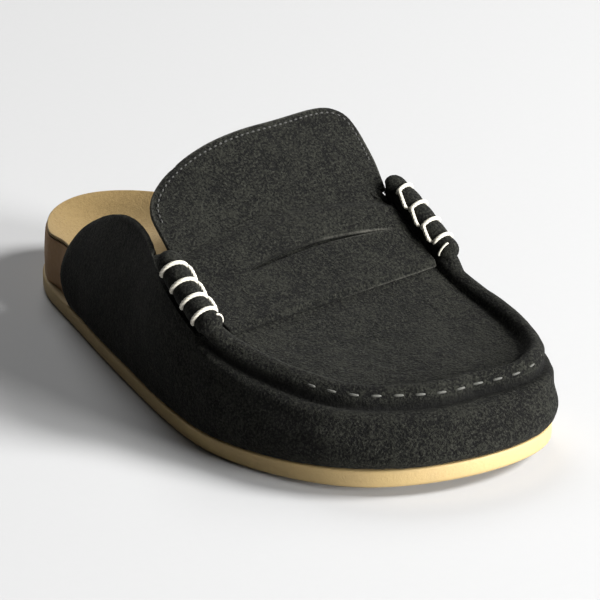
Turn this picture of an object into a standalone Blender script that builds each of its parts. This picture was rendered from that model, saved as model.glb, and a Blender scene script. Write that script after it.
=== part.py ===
"""Loafer mule: a backless moccasin on a contoured footbed, built as an assembly of separate solids.

Frame: metres, +Z up, the sole stands on Z = 0, the toe points to -Y, the medial side is +X (a right shoe).
Plan positions are worked out as a share of the length, 0 at the back of the heel and 1 at the tip of the toe.
"""

import math

import bpy
import numpy as np

MM = 0.001

# Driving dimensions, in metres
LENGTH = 265 * MM
BALL_WIDTH = 110 * MM
HEEL_WIDTH = 74 * MM
HEEL_RIM_HEIGHT = 25 * MM
INSTEP_HEIGHT = 58 * MM
TOE_SPRING = 5 * MM
OUTSOLE_THICKNESS = 6.5 * MM
UPPER_WALL = 2.0 * MM
LINING_THICKNESS = 1.2 * MM
TONGUE_THICKNESS = 2.0 * MM
TONGUE_LENGTH = 40 * MM
STRAP_THICKNESS = 1.8 * MM
ROLL_DIAMETER = 9.6 * MM
RIDGE_WIDTH = 8.5 * MM
RIDGE_RISE = 4.2 * MM
SLIT_WIDTH = 1.6 * MM
CLEARANCE = 0.3 * MM

# Smaller named sizes
FLAT_UNTIL = 0.70
SOLE_EDGE_RADIUS = 1.6 * MM
UPPER_INSET = 0.6 * MM
SIDE_BULGE = 1.2 * MM
TOE_BULGE = 2.8 * MM
MEDIAL_LIFT = 4.0 * MM
HEEL_LEDGE = 1.0 * MM
RIM_LEAN = 1.6 * MM
RIM_ROUND = 1.2 * MM
LINING_SETBACK = 0.5 * MM
LINING_SEAT = 0.1 * MM
THROAT_SETBACK = 1.5 * MM
TONGUE_SEAM = 0.5 * MM
TONGUE_SIDE_GAP = 2.0 * MM
TONGUE_STRAIGHT = 0.35
TONGUE_CROWN = 5.0 * MM
TONGUE_FLARE = 6.2 * MM
TONGUE_SKEW = 8.0 * MM
TONGUE_SLANT = 0.08
STRAP_SEAT = 0.7 * MM
STRAP_SIDE_GAP = 0.3 * MM
ROLL_SEAT = 0.5 * MM

# Fineness of the meshes
RING_POINTS = 72
SOLE_RINGS = (0.6, 0.25)
BED_RINGS = (0.9, 0.75, 0.5, 0.15)
UPPER_COLUMNS = 30
WALL_ROWS = (0.0, 0.10, 0.22, 0.36, 0.52, 0.68, 0.84, 1.0)
RIDGE_ROWS = (0.17, 0.34, 0.5, 0.66, 0.83, 1.0)
APRON_ROWS = (0.06, 0.16, 0.28, 0.42, 0.54, 0.62, 0.70, 0.78, 0.85, 0.92, 1.0)
STRAP_COLUMNS = 25
ROLL_ROWS = 11
ROLL_SIDES = 14


class Row:
    """One row of a table, its columns read by name."""

    def __init__(self, **columns):
        self.__dict__.update(columns)


# Sole outline: half widths as shares of the local width, which runs from the heel width to the ball width
OUTLINE = [
    Row(at=0.03, lateral=0.270, medial=0.270),
    Row(at=0.13, lateral=0.500, medial=0.486),
    Row(at=0.21, lateral=0.550, medial=0.485),
    Row(at=0.36, lateral=0.553, medial=0.400),
    Row(at=0.49, lateral=0.538, medial=0.395),
    Row(at=0.62, lateral=0.560, medial=0.430),
    Row(at=0.71, lateral=0.567, medial=0.445),
    Row(at=0.79, lateral=0.525, medial=0.445),
    Row(at=0.86, lateral=0.460, medial=0.430),
    Row(at=0.94, lateral=0.325, medial=0.375),
]
TOE_TIP = 0.068

# Top edge of the side wall: how far it leans in as a share of the ball width, its height as a share of the instep
WALL_TOP = [
    Row(at=0.10, lateral=0.050, medial=0.010, height=0.45),
    Row(at=0.20, lateral=0.095, medial=0.020, height=0.72),
    Row(at=0.32, lateral=0.098, medial=0.020, height=0.88),
    Row(at=0.42, lateral=0.090, medial=-0.005, height=0.96),
    Row(at=0.50, lateral=0.060, medial=-0.030, height=0.965),
    Row(at=0.57, lateral=0.022, medial=-0.052, height=0.90),
    Row(at=0.68, lateral=0.035, medial=-0.028, height=0.66),
    Row(at=0.78, lateral=0.064, medial=-0.034, height=0.54),
    Row(at=0.88, lateral=0.085, medial=-0.022, height=0.48),
    Row(at=0.95, lateral=0.125, medial=0.040, height=0.465),
    Row(at=1.00, lateral=0.150, medial=0.150, height=0.46),
]

# Rear edge of a wing, from the sole up along its crest to the throat
WING_EDGE = [
    Row(rise=0.00, at=0.226, height=0.117),
    Row(rise=0.12, at=0.200, height=0.270),
    Row(rise=0.24, at=0.205, height=0.480),
    Row(rise=0.38, at=0.240, height=0.690),
    Row(rise=0.55, at=0.325, height=0.890),
    Row(rise=0.75, at=0.425, height=0.985),
    Row(rise=1.00, at=0.525, height=0.960),
]

# Height of the apron along the foot, and of the tongue behind the throat, as shares of the instep height
APRON_LINE = [
    Row(at=0.40, height=1.600),
    Row(at=0.45, height=1.375),
    Row(at=0.49, height=1.225),
    Row(at=0.53, height=1.095),
    Row(at=0.57, height=0.978),
    Row(at=0.62, height=0.835),
    Row(at=0.68, height=0.710),
    Row(at=0.76, height=0.605),
    Row(at=0.84, height=0.545),
    Row(at=0.92, height=0.515),
    Row(at=1.00, height=0.500),
]

# Top of the footbed: its middle and its two rims as shares of the heel rim height
BED_LINE = [
    Row(at=0.00, middle=0.56, lateral=1.00, medial=1.00),
    Row(at=0.16, middle=0.54, lateral=1.00, medial=1.00),
    Row(at=0.30, middle=0.58, lateral=0.97, medial=1.02),
    Row(at=0.45, middle=0.60, lateral=0.84, medial=0.97),
    Row(at=0.60, middle=0.53, lateral=0.66, medial=0.76),
    Row(at=0.75, middle=0.48, lateral=0.58, medial=0.60),
    Row(at=0.88, middle=0.45, lateral=0.52, medial=0.54),
    Row(at=1.00, middle=0.43, lateral=0.49, medial=0.49),
]

# Places along the foot, as shares of the length
WING_ZONE = (0.115, 0.165)
MIDDLE_LINE = (0.12, 0.86)
LIFT_FADE = (0.52, 0.75)
ROLL_ZONE = {"lateral": (0.566, 0.682), "medial": (0.548, 0.668)}
RIDGE_START = {"lateral": (0.686, 0.722), "medial": (0.672, 0.710)}
THROAT_CORNER = 0.550
THROAT_END = 0.554
THROAT_BOW = 0.024
STRAP_REAR = 0.572
STRAP_REAR_BOW = 0.030
STRAP_FRONT = {"lateral": 0.700, "medial": 0.681}
SLIT_MIDDLE = {"lateral": 0.613, "medial": 0.594}
SLIT_BOW = 0.022
SLIT_ENDS = (0.26, 0.935)
TOE_BLEND = 0.5
FLARE_ZONE = (0.0, 0.27)


def smooth_step(low, high, value):
    """Zero below low, one above high, with a soft start and end between them."""
    share = np.clip((value - low) / (high - low), 0.0, 1.0)
    return share * share * (3.0 - 2.0 * share)


def column(rows, name):
    return np.array([getattr(row, name) for row in rows])


def spline(knots, values, at):
    """Natural cubic curve through the knots, read at the given places."""
    knots = np.asarray(knots, float)
    values = np.asarray(values, float)
    step = np.diff(knots)
    slope = np.diff(values) / step
    count = len(knots)
    system = np.eye(count)
    right = np.zeros(count)
    for i in range(1, count - 1):
        system[i, i - 1] = step[i - 1]
        system[i, i] = 2.0 * (step[i - 1] + step[i])
        system[i, i + 1] = step[i]
        right[i] = 6.0 * (slope[i] - slope[i - 1])
    bend = np.linalg.solve(system, right)
    at = np.clip(np.asarray(at, float), knots[0], knots[-1])
    i = np.clip(np.searchsorted(knots, at, side="right") - 1, 0, count - 2)
    before = at - knots[i]
    after = knots[i + 1] - at
    cubic = (bend[i] * after**3 + bend[i + 1] * before**3) / (6.0 * step[i])
    left = (values[i] / step[i] - bend[i] * step[i] / 6.0) * after
    return cubic + left + (values[i + 1] / step[i] - bend[i + 1] * step[i] / 6.0) * before


def turn_of(share):
    """Angle round the outline, 0 at the heel and pi at the toe, of a share of the length."""
    return np.arccos(np.clip(1.0 - 2.0 * np.asarray(share, float), -1.0, 1.0))


def share_of(turn):
    return (1.0 - np.cos(turn)) / 2.0


def outline(turn):
    """Sole edge in plan (x, y): lateral side for turns up to pi, medial side from pi to two pi."""
    width = HEEL_WIDTH + (BALL_WIDTH - HEEL_WIDTH) * smooth_step(0.15, 0.60, column(OUTLINE, "at"))
    knots = turn_of(column(OUTLINE, "at"))
    lateral = -column(OUTLINE, "lateral") * width
    medial = column(OUTLINE, "medial") * width
    loop_knots = np.concatenate([[0.0], knots, [math.pi], 2.0 * math.pi - knots[::-1]])
    loop_x = np.concatenate([[0.0], lateral, [TOE_TIP * BALL_WIDTH], medial[::-1]])
    full = 2.0 * math.pi
    turned = np.concatenate([loop_knots - full, loop_knots, loop_knots + full])
    x = spline(turned, np.tile(loop_x, 3), turn)
    return x, LENGTH / 2.0 - LENGTH * share_of(turn)


def plan(turn, inset):
    """Sole edge moved in along its own normal by the inset, in plan (x, y)."""
    nudge = 1e-4
    x, y = outline(turn)
    x0, y0 = outline(turn - nudge)
    x1, y1 = outline(turn + nudge)
    dx, dy = x1 - x0, y1 - y0
    size = np.hypot(dx, dy)
    return x - inset * dy / size, y + inset * dx / size


def along(y):
    """Share of the length at a place y."""
    return 0.5 - np.asarray(y) / LENGTH


def lift(y):
    """Toe spring: how high the sole's underside is at a place y."""
    share = np.clip((along(y) - FLAT_UNTIL) / (1.0 - FLAT_UNTIL), 0.0, None)
    return TOE_SPRING * share * share


def side_mix(turn):
    """Zero on the lateral side, one on the medial side, blended round the toe."""
    return smooth_step(math.pi - TOE_BLEND, math.pi + TOE_BLEND, turn)


def instep_lift(share):
    """How much higher the medial side stands, full at the instep and fading to nothing over the forefoot."""
    return MEDIAL_LIFT * (1.0 - smooth_step(*LIFT_FADE, share))


def wall_top(turn):
    """Inset and height of the top edge of the side wall."""
    half = np.where(turn > math.pi, 2.0 * math.pi - turn, turn)
    knots = turn_of(column(WALL_TOP, "at"))
    lateral = spline(knots, column(WALL_TOP, "lateral"), half)
    medial = spline(knots, column(WALL_TOP, "medial"), half)
    mix = side_mix(turn)
    height = INSTEP_HEIGHT * spline(knots, column(WALL_TOP, "height"), half)
    height = height + instep_lift(share_of(half)) * mix / 2.0
    return BALL_WIDTH * (lateral + (medial - lateral) * mix), height


def apron_height(x, y):
    """Outer surface of the apron and of the tongue's middle; the medial side stands a little higher."""
    share = along(y)
    line = spline(column(APRON_LINE, "at"), column(APRON_LINE, "height"), share)
    return INSTEP_HEIGHT * line + instep_lift(share) * x / BALL_WIDTH


def wall_inset(turn, z):
    """Inset of the upper's outer surface at a height on the side wall."""
    top_inset, top_height = wall_top(turn)
    y = outline(turn)[1]
    low = lift(y) + OUTSOLE_THICKNESS + CLEARANCE
    share = np.clip((z - low) / (top_height - low), 0.0, 1.0)
    bulge = SIDE_BULGE + (TOE_BULGE - SIDE_BULGE) * smooth_step(0.60, 0.95, along(y))
    swell = np.sin(math.pi * share**0.75) ** 1.2
    return UPPER_INSET + (top_inset - UPPER_INSET) * share**2.4 - bulge * swell


def sheet(name, outer, thickness, colour, roughness, keep=None):
    """Closed solid from a grid of outer points and a wall thickness; keep marks the cells that have material."""
    rows, columns = outer.shape[:2]
    across = np.gradient(outer, axis=1)
    up = np.gradient(outer, axis=0)
    normal = np.cross(across, up)
    normal /= np.linalg.norm(normal, axis=2, keepdims=True)
    inner = outer - normal * thickness
    points = np.concatenate([outer.reshape(-1, 3), inner.reshape(-1, 3)])
    shift = rows * columns
    faces = []
    edges = {}
    for i in range(rows - 1):
        for j in range(columns - 1):
            if keep is not None and not keep[i, j]:
                continue
            a = i * columns + j
            cell = (a, a + 1, a + columns + 1, a + columns)
            faces.append(cell)
            faces.append(tuple(k + shift for k in reversed(cell)))
            for start, end in zip(cell, cell[1:] + cell[:1]):
                edges[(start, end)] = True
    for start, end in edges:
        if (end, start) not in edges:
            faces.append((end, start, start + shift, end + shift))
    return solid(name, points, faces, colour, roughness)


def solid(name, points, faces, colour, roughness):
    """Object from points and faces, shaded smooth, with its own material."""
    mesh = bpy.data.meshes.new(name)
    mesh.from_pydata(np.asarray(points).tolist(), [], faces)
    mesh.update()
    mesh.shade_smooth()
    mesh.set_sharp_from_angle(angle=math.radians(40))
    obj = bpy.data.objects.new(name, mesh)
    bpy.context.scene.collection.objects.link(obj)
    material = bpy.data.materials.new(name)
    material.use_nodes = True
    shader = material.node_tree.nodes["Principled BSDF"]
    shader.inputs["Base Color"].default_value = (*colour, 1.0)
    shader.inputs["Roughness"].default_value = roughness
    shader.inputs["Metallic"].default_value = 0.0
    mesh.materials.append(material)
    return obj


def middle_of(turn):
    """Point on the foot's middle line that belongs to a place on the outline."""
    share = np.clip(share_of(turn), *MIDDLE_LINE)
    half = turn_of(share)
    lateral_x, y = outline(half)
    medial_x = outline(2.0 * math.pi - half)[0]
    return (lateral_x + medial_x) / 2.0, y


def ringed(name, rings, colour, roughness):
    """Closed solid from rings round the foot, first ring in the middle of the underside, last in the middle on top.

    Each end is closed by cells that join a lateral point with the medial point across from it.
    """
    count = rings[0].shape[0]
    points = np.concatenate(rings)
    faces = []
    for k in range(len(rings) - 1):
        for i in range(count):
            a = k * count + i
            b = k * count + (i + 1) % count
            faces.append((a, b, b + count, a + count))
    half = count // 2
    for first, up in ((0, False), ((len(rings) - 1) * count, True)):
        cells = [(0, 1, count - 1)]
        cells += [(i, i + 1, count - i - 1, count - i) for i in range(1, half - 1)]
        cells.append((half - 1, half, half + 1))
        for cell in cells:
            cell = tuple(first + k for k in cell)
            faces.append(cell if up else tuple(reversed(cell)))
    return solid(name, points, faces, colour, roughness)


def turns():
    return np.arange(RING_POINTS) * 2.0 * math.pi / RING_POINTS


def ring(turn, inset, share, height):
    """Ring at a share of the way from the middle line to the inset edge, at the height that a function gives."""
    edge_x, edge_y = plan(turn, inset)
    mid_x, mid_y = middle_of(turn)
    x = mid_x + (edge_x - mid_x) * share
    y = mid_y + (edge_y - mid_y) * share
    return np.stack([x, y, height(x, y, turn, share)], axis=1)


def make_outsole():
    """Flat sole plate with rounded edges, raised at the toe by the toe spring."""
    turn = turns()
    under = lambda x, y, t, e: lift(y)
    over = lambda x, y, t, e: lift(y) + OUTSOLE_THICKNESS
    corner = lambda x, y, t, e: lift(y) + SOLE_EDGE_RADIUS * 0.3
    low = lambda x, y, t, e: lift(y) + SOLE_EDGE_RADIUS
    high = lambda x, y, t, e: lift(y) + OUTSOLE_THICKNESS - SOLE_EDGE_RADIUS / 2.0
    rings = [ring(turn, SOLE_EDGE_RADIUS, share, under) for share in (*reversed(SOLE_RINGS), 1.0)]
    rings.append(ring(turn, SOLE_EDGE_RADIUS * 0.3, 1.0, corner))
    rings.append(ring(turn, 0.0, 1.0, low))
    rings.append(ring(turn, 0.0, 1.0, high))
    rings.append(ring(turn, SOLE_EDGE_RADIUS / 2.0, 1.0, over))
    rings += [ring(turn, SOLE_EDGE_RADIUS / 2.0, share, over) for share in SOLE_RINGS]
    return ringed("outsole", rings, (0.62, 0.46, 0.24), 0.55)


def bed_inset(turn, at_rim):
    """Inset of the footbed's side: nearly flush at the bare heel, behind the upper's wall elsewhere."""
    share = share_of(turn)
    covered = UPPER_INSET + UPPER_WALL + 2.0 * CLEARANCE + at_rim * RIM_LEAN
    bare = HEEL_LEDGE + at_rim * RIM_LEAN * 0.5
    return bare + (covered - bare) * smooth_step(*WING_ZONE, share)


def bed_height(x, y, turn, share):
    """Top of the footbed: a cupped heel, a raised inner arch and a low rim round the forefoot."""
    at = along(y)
    knots = column(BED_LINE, "at")
    middle = spline(knots, column(BED_LINE, "middle"), at)
    lateral = spline(knots, column(BED_LINE, "lateral"), at)
    medial = spline(knots, column(BED_LINE, "medial"), at)
    rim = lateral + (medial - lateral) * (0.5 - 0.5 * np.sin(turn))
    cup = share**3.2
    return HEEL_RIM_HEIGHT * (middle + (rim - middle) * cup) + lift(y)


def make_footbed():
    """Contoured body between the outsole and the lining."""
    turn = turns()
    base = lambda x, y, t, e: lift(y) + OUTSOLE_THICKNESS + CLEARANCE
    half_up = lambda x, y, t, e: (base(x, y, t, e) + bed_height(x, y, t, 1.0)) / 2.0
    near_top = lambda x, y, t, e: bed_height(x, y, t, 1.0) - RIM_ROUND
    rings = [ring(turn, bed_inset(turn, 0.0), share, base) for share in (*reversed(SOLE_RINGS), 1.0)]
    rings.append(ring(turn, bed_inset(turn, 0.3), 1.0, half_up))
    rings.append(ring(turn, bed_inset(turn, 0.7), 1.0, near_top))
    rings.append(ring(turn, bed_inset(turn, 1.0) + RIM_ROUND / 2.0, 1.0, bed_height))
    for share in BED_RINGS:
        rings.append(ring(turn, bed_inset(turn, 1.0) + RIM_ROUND / 2.0, share, bed_height))
    return ringed("footbed", rings, (0.11, 0.062, 0.036), 0.8)


def make_insole():
    """Lining sheet that lies on the footbed up to its rim."""
    turn = turns()
    inset = bed_inset(turn, 1.0) + RIM_ROUND / 2.0 + LINING_SETBACK
    gap = CLEARANCE + LINING_SEAT
    under = lambda x, y, t, e: bed_height(x, y, t, e) + gap
    over = lambda x, y, t, e: bed_height(x, y, t, e) + gap + LINING_THICKNESS
    rings = [ring(turn, inset, share, under) for share in reversed(BED_RINGS)]
    rings.append(ring(turn, inset, 1.0, under))
    rings.append(ring(turn, inset, 1.0, over))
    rings += [ring(turn, inset, share, over) for share in BED_RINGS]
    return ringed("insole", rings, (0.52, 0.38, 0.22), 0.9)


def wing_grid(q, rise):
    """Turn and height on the side wall: q runs from the wing's rear edge to the toe, rise from sole to ridge."""
    places = turn_of(spline(column(WING_EDGE, "rise"), column(WING_EDGE, "at"), rise))
    heights = spline(column(WING_EDGE, "rise"), column(WING_EDGE, "height"), rise) * INSTEP_HEIGHT
    sole_start = turn_of(WING_EDGE[0].at)
    top_start = turn_of(WING_EDGE[-1].at)
    sole_turn = sole_start + (math.pi - sole_start) * q
    top_turn = top_start + (math.pi - top_start) * q
    base = OUTSOLE_THICKNESS + CLEARANCE + lift(outline(sole_turn)[1])
    top = wall_top(top_turn)[1]
    start_base = OUTSOLE_THICKNESS + CLEARANCE
    start_top = wall_top(top_start)[1]
    fade = (1.0 - np.clip(q / 0.6, 0.0, 1.0)) ** 2.5
    turn = sole_turn + (top_turn - sole_turn) * rise
    turn = turn + fade * (places - sole_start - (top_start - sole_start) * rise)
    height = base + (top - base) * rise
    height = height + fade * (heights - start_base - (start_top - start_base) * rise)
    return turn, height


def ridge_line(turn, share):
    """Point across the ridge: share 0 at the wall's top edge, 1 at the apron's edge."""
    inset, low = wall_top(turn)
    x, y = plan(turn, inset + share * RIDGE_WIDTH)
    inner_x, inner_y = plan(turn, inset + RIDGE_WIDTH)
    high = apron_height(inner_x, inner_y)
    mix = side_mix(turn)
    start, full = (
        lateral + (medial - lateral) * mix for lateral, medial in zip(RIDGE_START["lateral"], RIDGE_START["medial"])
    )
    raised = smooth_step(start, full, share_of(turn))
    bump = RIDGE_RISE * raised * np.sin(math.pi * share) ** 0.8
    return x, y, low + (high - low) * share + bump


def make_upper():
    """One hollow wall: side wall with its wings, the raised ridge and the sunken apron, open behind and below."""
    half_q = np.linspace(0.0, 1.0, UPPER_COLUMNS) ** 0.9
    q = np.concatenate([half_q, half_q[-2::-1]])
    medial = np.arange(len(q)) >= UPPER_COLUMNS
    rows = []
    for rise in WALL_ROWS:
        turn, height = wing_grid(q, rise)
        height = height + np.where(medial, instep_lift(share_of(turn)) * rise / 2.0, 0.0)
        turn = np.where(medial, 2.0 * math.pi - turn, turn)
        x, y = plan(turn, wall_inset(turn, height))
        rows.append(np.stack([x, y, height], axis=1))
    for share in RIDGE_ROWS:
        start = turn_of(WING_EDGE[-1].at + (THROAT_CORNER - WING_EDGE[-1].at) * share)
        turn = start + (math.pi - start) * q
        turn = np.where(medial, 2.0 * math.pi - turn, turn)
        rows.append(np.stack(ridge_line(turn, share), axis=1))
    edge = rows[-1]
    across = np.linspace(0.0, 1.0, len(q))
    across = across + 0.05 * np.sin(2.0 * math.pi * across)
    left = edge[0, 0] + THROAT_SETBACK
    right = edge[-1, 0] - THROAT_SETBACK
    throat_x = left + (right - left) * across
    throat_y = throat(throat_x)
    for share in APRON_ROWS:
        x = edge[:, 0] + (throat_x - edge[:, 0]) * share
        y = edge[:, 1] + (throat_y - edge[:, 1]) * share
        rows.append(np.stack([x, y, apron_height(x, y)], axis=1))
    return sheet("upper", np.stack(rows), UPPER_WALL, (0.030, 0.030, 0.026), 0.95)


def throat(x):
    """Place y of the apron's rear edge, which lies under the strap, at a place x."""
    end_y = LENGTH * (0.5 - THROAT_END)
    left = apron_side(end_y, "lateral")
    right = apron_side(end_y, "medial")
    across = (2.0 * x - left - right) / (right - left)
    return LENGTH * (0.5 - THROAT_END - THROAT_BOW * (1.0 - across**2))


def apron_side(y, side):
    """Place x of the apron's edge beside the ridge, at a place y, for one side of the shoe."""
    share = np.linspace(0.40, 0.80, 60)
    turn = turn_of(share) if side == "lateral" else 2.0 * math.pi - turn_of(share)
    x, line_y, _ = ridge_line(turn, 1.0)
    order = np.argsort(line_y)
    return np.interp(y, line_y[order], x[order])


def make_tongue():
    """Tab that carries on the line of the apron behind the throat, up and back to a rounded end."""
    u = np.linspace(-1.0, 1.0, 17)[None, :]
    base = np.linspace(0.0, TONGUE_STRAIGHT, 5)
    v = np.concatenate([base, np.linspace(TONGUE_STRAIGHT, 1.0, 9)[1:]])[:, None]
    bend = np.clip((v - TONGUE_STRAIGHT) / (1.0 - TONGUE_STRAIGHT), 0.0, 1.0)
    across = u * np.sqrt(1.0 - bend * bend / 2.0)
    straight = np.minimum(v, TONGUE_STRAIGHT)
    back = straight + (v - straight) * np.sqrt(1.0 - u * u / 2.0)
    seat_y = LENGTH * (0.5 - THROAT_END)
    left = apron_side(seat_y, "lateral") + TONGUE_SIDE_GAP
    right = apron_side(seat_y, "medial") - TONGUE_SIDE_GAP
    half_width = (right - left) / 2.0 + TONGUE_FLARE * smooth_step(*FLARE_ZONE, v)
    x = (left + right) / 2.0 + across * half_width
    y = throat(np.clip(x, left, right)) + TONGUE_SEAM + back * TONGUE_LENGTH * (1.0 + TONGUE_SLANT * across)
    x = x + TONGUE_SKEW * back
    crown = TONGUE_CROWN * smooth_step(0.0, 1.0, back) * across**2
    z = apron_height(x, y) - crown
    return sheet("tongue", np.stack([x, y, z], axis=2), TONGUE_THICKNESS, (0.034, 0.034, 0.030), 0.95)


def make_strap():
    """Saddle strap across the instep with one curved slit."""
    u = np.linspace(0.0, 1.0, STRAP_COLUMNS)[None, :]
    arch = 1.0 - (2.0 * u - 1.0) ** 2
    rear = STRAP_REAR - STRAP_REAR_BOW * arch
    front = STRAP_FRONT["lateral"] + (STRAP_FRONT["medial"] - STRAP_FRONT["lateral"]) * u
    slit = SLIT_MIDDLE["lateral"] + (SLIT_MIDDLE["medial"] - SLIT_MIDDLE["lateral"]) * u + SLIT_BOW * (1.0 - arch)
    lens = np.clip((u - SLIT_ENDS[0]) / (SLIT_ENDS[1] - SLIT_ENDS[0]), 0.02, 0.98)
    half_slit = SLIT_WIDTH / 2.0 / LENGTH * (0.35 + 0.65 * np.sqrt(4.0 * lens * (1.0 - lens)))
    ahead = np.linspace(0.0, 1.0, 6)[:, None]
    behind = np.linspace(0.0, 1.0, 5)[:, None]
    share = np.concatenate([
        front + (slit + half_slit - front) * ahead,
        slit - half_slit + (rear - slit + half_slit) * behind,
    ])
    y = LENGTH * (0.5 - share)
    left = apron_side(y, "lateral") + STRAP_SIDE_GAP
    right = apron_side(y, "medial") - STRAP_SIDE_GAP
    x = left + (right - left) * u
    z = apron_height(x, y) + STRAP_SEAT + STRAP_THICKNESS
    keep = np.ones((share.shape[0] - 1, STRAP_COLUMNS - 1), bool)
    middle = (u[0, 1:] + u[0, :-1]) / 2.0
    keep[5, (middle > SLIT_ENDS[0]) & (middle < SLIT_ENDS[1])] = False
    return sheet("strap", np.stack([x, y, z], axis=2), STRAP_THICKNESS, (0.034, 0.034, 0.030), 0.95, keep)


def make_roll(side):
    """Rolled end of the strap beside the apron, a round tube that lies on the flattened ridge."""
    start, end = ROLL_ZONE[side]
    share = np.linspace(start, end, ROLL_ROWS)
    turn = turn_of(share) if side == "lateral" else 2.0 * math.pi - turn_of(share)
    low = np.stack(ridge_line(turn, 0.0), axis=1)
    high = np.stack(ridge_line(turn, 1.0), axis=1)
    radius = ROLL_DIAMETER / 2.0
    centre = (low + high) / 2.0
    normal = np.cross(high - low, np.gradient(centre, axis=0))
    normal *= np.sign(normal[:, 2:])
    centre = centre + normal / np.linalg.norm(normal, axis=1, keepdims=True) * (radius + ROLL_SEAT)
    ends = np.linspace(-1.0, 1.0, ROLL_ROWS)
    size = radius * (1.0 - 0.22 * np.abs(ends) ** 8)
    ahead = np.gradient(centre, axis=0)
    ahead /= np.linalg.norm(ahead, axis=1, keepdims=True)
    sideways = np.cross(ahead, [0.0, 0.0, 1.0])
    sideways /= np.linalg.norm(sideways, axis=1, keepdims=True)
    upward = np.cross(sideways, ahead)
    angle = np.arange(ROLL_SIDES) * 2.0 * math.pi / ROLL_SIDES
    around = np.cos(angle)[None, :, None] * sideways[:, None] + np.sin(angle)[None, :, None] * upward[:, None]
    points = (centre[:, None] + around * size[:, None, None]).reshape(-1, 3)
    faces = []
    for i in range(ROLL_ROWS - 1):
        for j in range(ROLL_SIDES):
            a = i * ROLL_SIDES + j
            b = i * ROLL_SIDES + (j + 1) % ROLL_SIDES
            faces.append((b, a, a + ROLL_SIDES, b + ROLL_SIDES))
    faces.append(tuple(range(ROLL_SIDES)))
    faces.append(tuple(reversed(range(len(points) - ROLL_SIDES, len(points)))))
    return solid("roll_" + side, points, faces, (0.030, 0.030, 0.026), 0.95)


def main():
    for obj in list(bpy.data.objects):
        bpy.data.objects.remove(obj)
    make_outsole()
    make_footbed()
    make_insole()
    make_upper()
    make_tongue()
    make_strap()
    for side in ROLL_ZONE:
        make_roll(side)


main()
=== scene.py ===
"""Looks of the loafer mule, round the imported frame: suede, cork, napped lining, rubber and waxed cord.

Every piece is a surface worked out with numpy from one foot form: plan positions are a share of the length,
0 at the back of the heel and 1 at the tip of the toe, and a place on the sole's edge is a turn round it.
"""

import math

import bpy
import numpy as np
from bpy.props import FloatProperty, FloatVectorProperty, PointerProperty
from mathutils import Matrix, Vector


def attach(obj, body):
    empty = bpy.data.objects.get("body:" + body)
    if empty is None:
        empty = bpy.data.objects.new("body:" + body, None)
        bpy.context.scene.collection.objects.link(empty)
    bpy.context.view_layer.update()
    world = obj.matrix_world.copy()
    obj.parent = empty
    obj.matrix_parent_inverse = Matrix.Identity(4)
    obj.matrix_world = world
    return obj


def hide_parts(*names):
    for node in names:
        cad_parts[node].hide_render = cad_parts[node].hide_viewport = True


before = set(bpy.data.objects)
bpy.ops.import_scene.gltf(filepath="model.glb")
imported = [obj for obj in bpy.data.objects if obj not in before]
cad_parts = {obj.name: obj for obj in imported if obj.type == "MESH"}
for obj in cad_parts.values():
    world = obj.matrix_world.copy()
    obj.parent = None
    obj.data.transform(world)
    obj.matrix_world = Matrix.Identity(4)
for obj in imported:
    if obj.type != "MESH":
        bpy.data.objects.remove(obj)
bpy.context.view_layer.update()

bl_info = {
    "name": "Loafer mule looks",
    "version": (1, 0, 0),
    "blender": (4, 5, 0),
    "location": "3D View > Sidebar > Loafer mule",
    "description": "Dresses the loafer mule in suede, cork, lining, rubber and cord",
    "category": "Object",
}

MM = 0.001


# Sizes and colours


def length(name, description, default):
    """Panel property for a length, its default given in millimetres."""
    return FloatProperty(
        name=name, description=description, default=default * MM, min=0.0, unit="LENGTH", precision=5
    )


def paint(name, description, default):
    """Panel property for a colour, its default given as linear values."""
    return FloatVectorProperty(
        name=name, description=description, default=default, min=0.0, max=1.0, size=3, subtype="COLOR"
    )


class LoaferSizes(bpy.types.PropertyGroup):
    """Sizes of the shoe and of its details."""

    shoe_length: length("Length", "Heel to toe", 265)
    ball_width: length("Ball width", "Reference width at the ball of the foot", 110)
    heel_width: length("Heel width", "Reference width at the heel", 74)
    heel_rim: length("Heel rim height", "Height of the footbed's rim at the heel", 25)
    instep: length("Instep height", "Height that the upper's heights are shares of", 58)
    toe_spring: length("Toe spring", "How far the toe is lifted off the ground", 5)
    outsole: length("Outsole thickness", "Thickness of the rubber plate", 6.5)
    upper_wall: length("Upper wall", "Thickness of the suede of the upper", 2.0)
    lining: length("Lining thickness", "Thickness of the lining sheet", 1.2)
    tongue: length("Tongue thickness", "Thickness of the tongue", 2.0)
    tongue_length: length("Tongue length", "Length of the tongue behind the throat", 38.6)
    strap: length("Strap thickness", "Thickness of the saddle strap", 1.8)
    roll: length("Roll diameter", "Diameter of the rolled strap ends", 9.6)
    ridge_width: length("Ridge width", "Width of the toe ridge seen from above", 8.5)
    ridge_rise: length("Ridge rise", "How far the toe ridge stands proud", 4.2)
    groove: length("Groove depth", "Depth of the groove under the toe ridge", 1.5)
    slit: length("Slit width", "Width of the strap's slit at its widest", 3.5)
    cord: length("Cord diameter", "Diameter of the whip-stitch cord", 1.45)
    dash_length: length("Dash length", "Length of one stitch on the toe ridge", 4.4)
    dash_pitch: length("Dash pitch", "Distance from one ridge stitch to the next", 7.6)
    thread: length("Thread diameter", "Diameter of the thread of the small stitches", 0.65)
    stitch_pitch: length("Stitch pitch", "Distance between the tongue's edge stitches", 2.5)
    stitch_inset: length("Stitch inset", "Distance of the tongue's stitches from its edge", 2.1)


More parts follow.
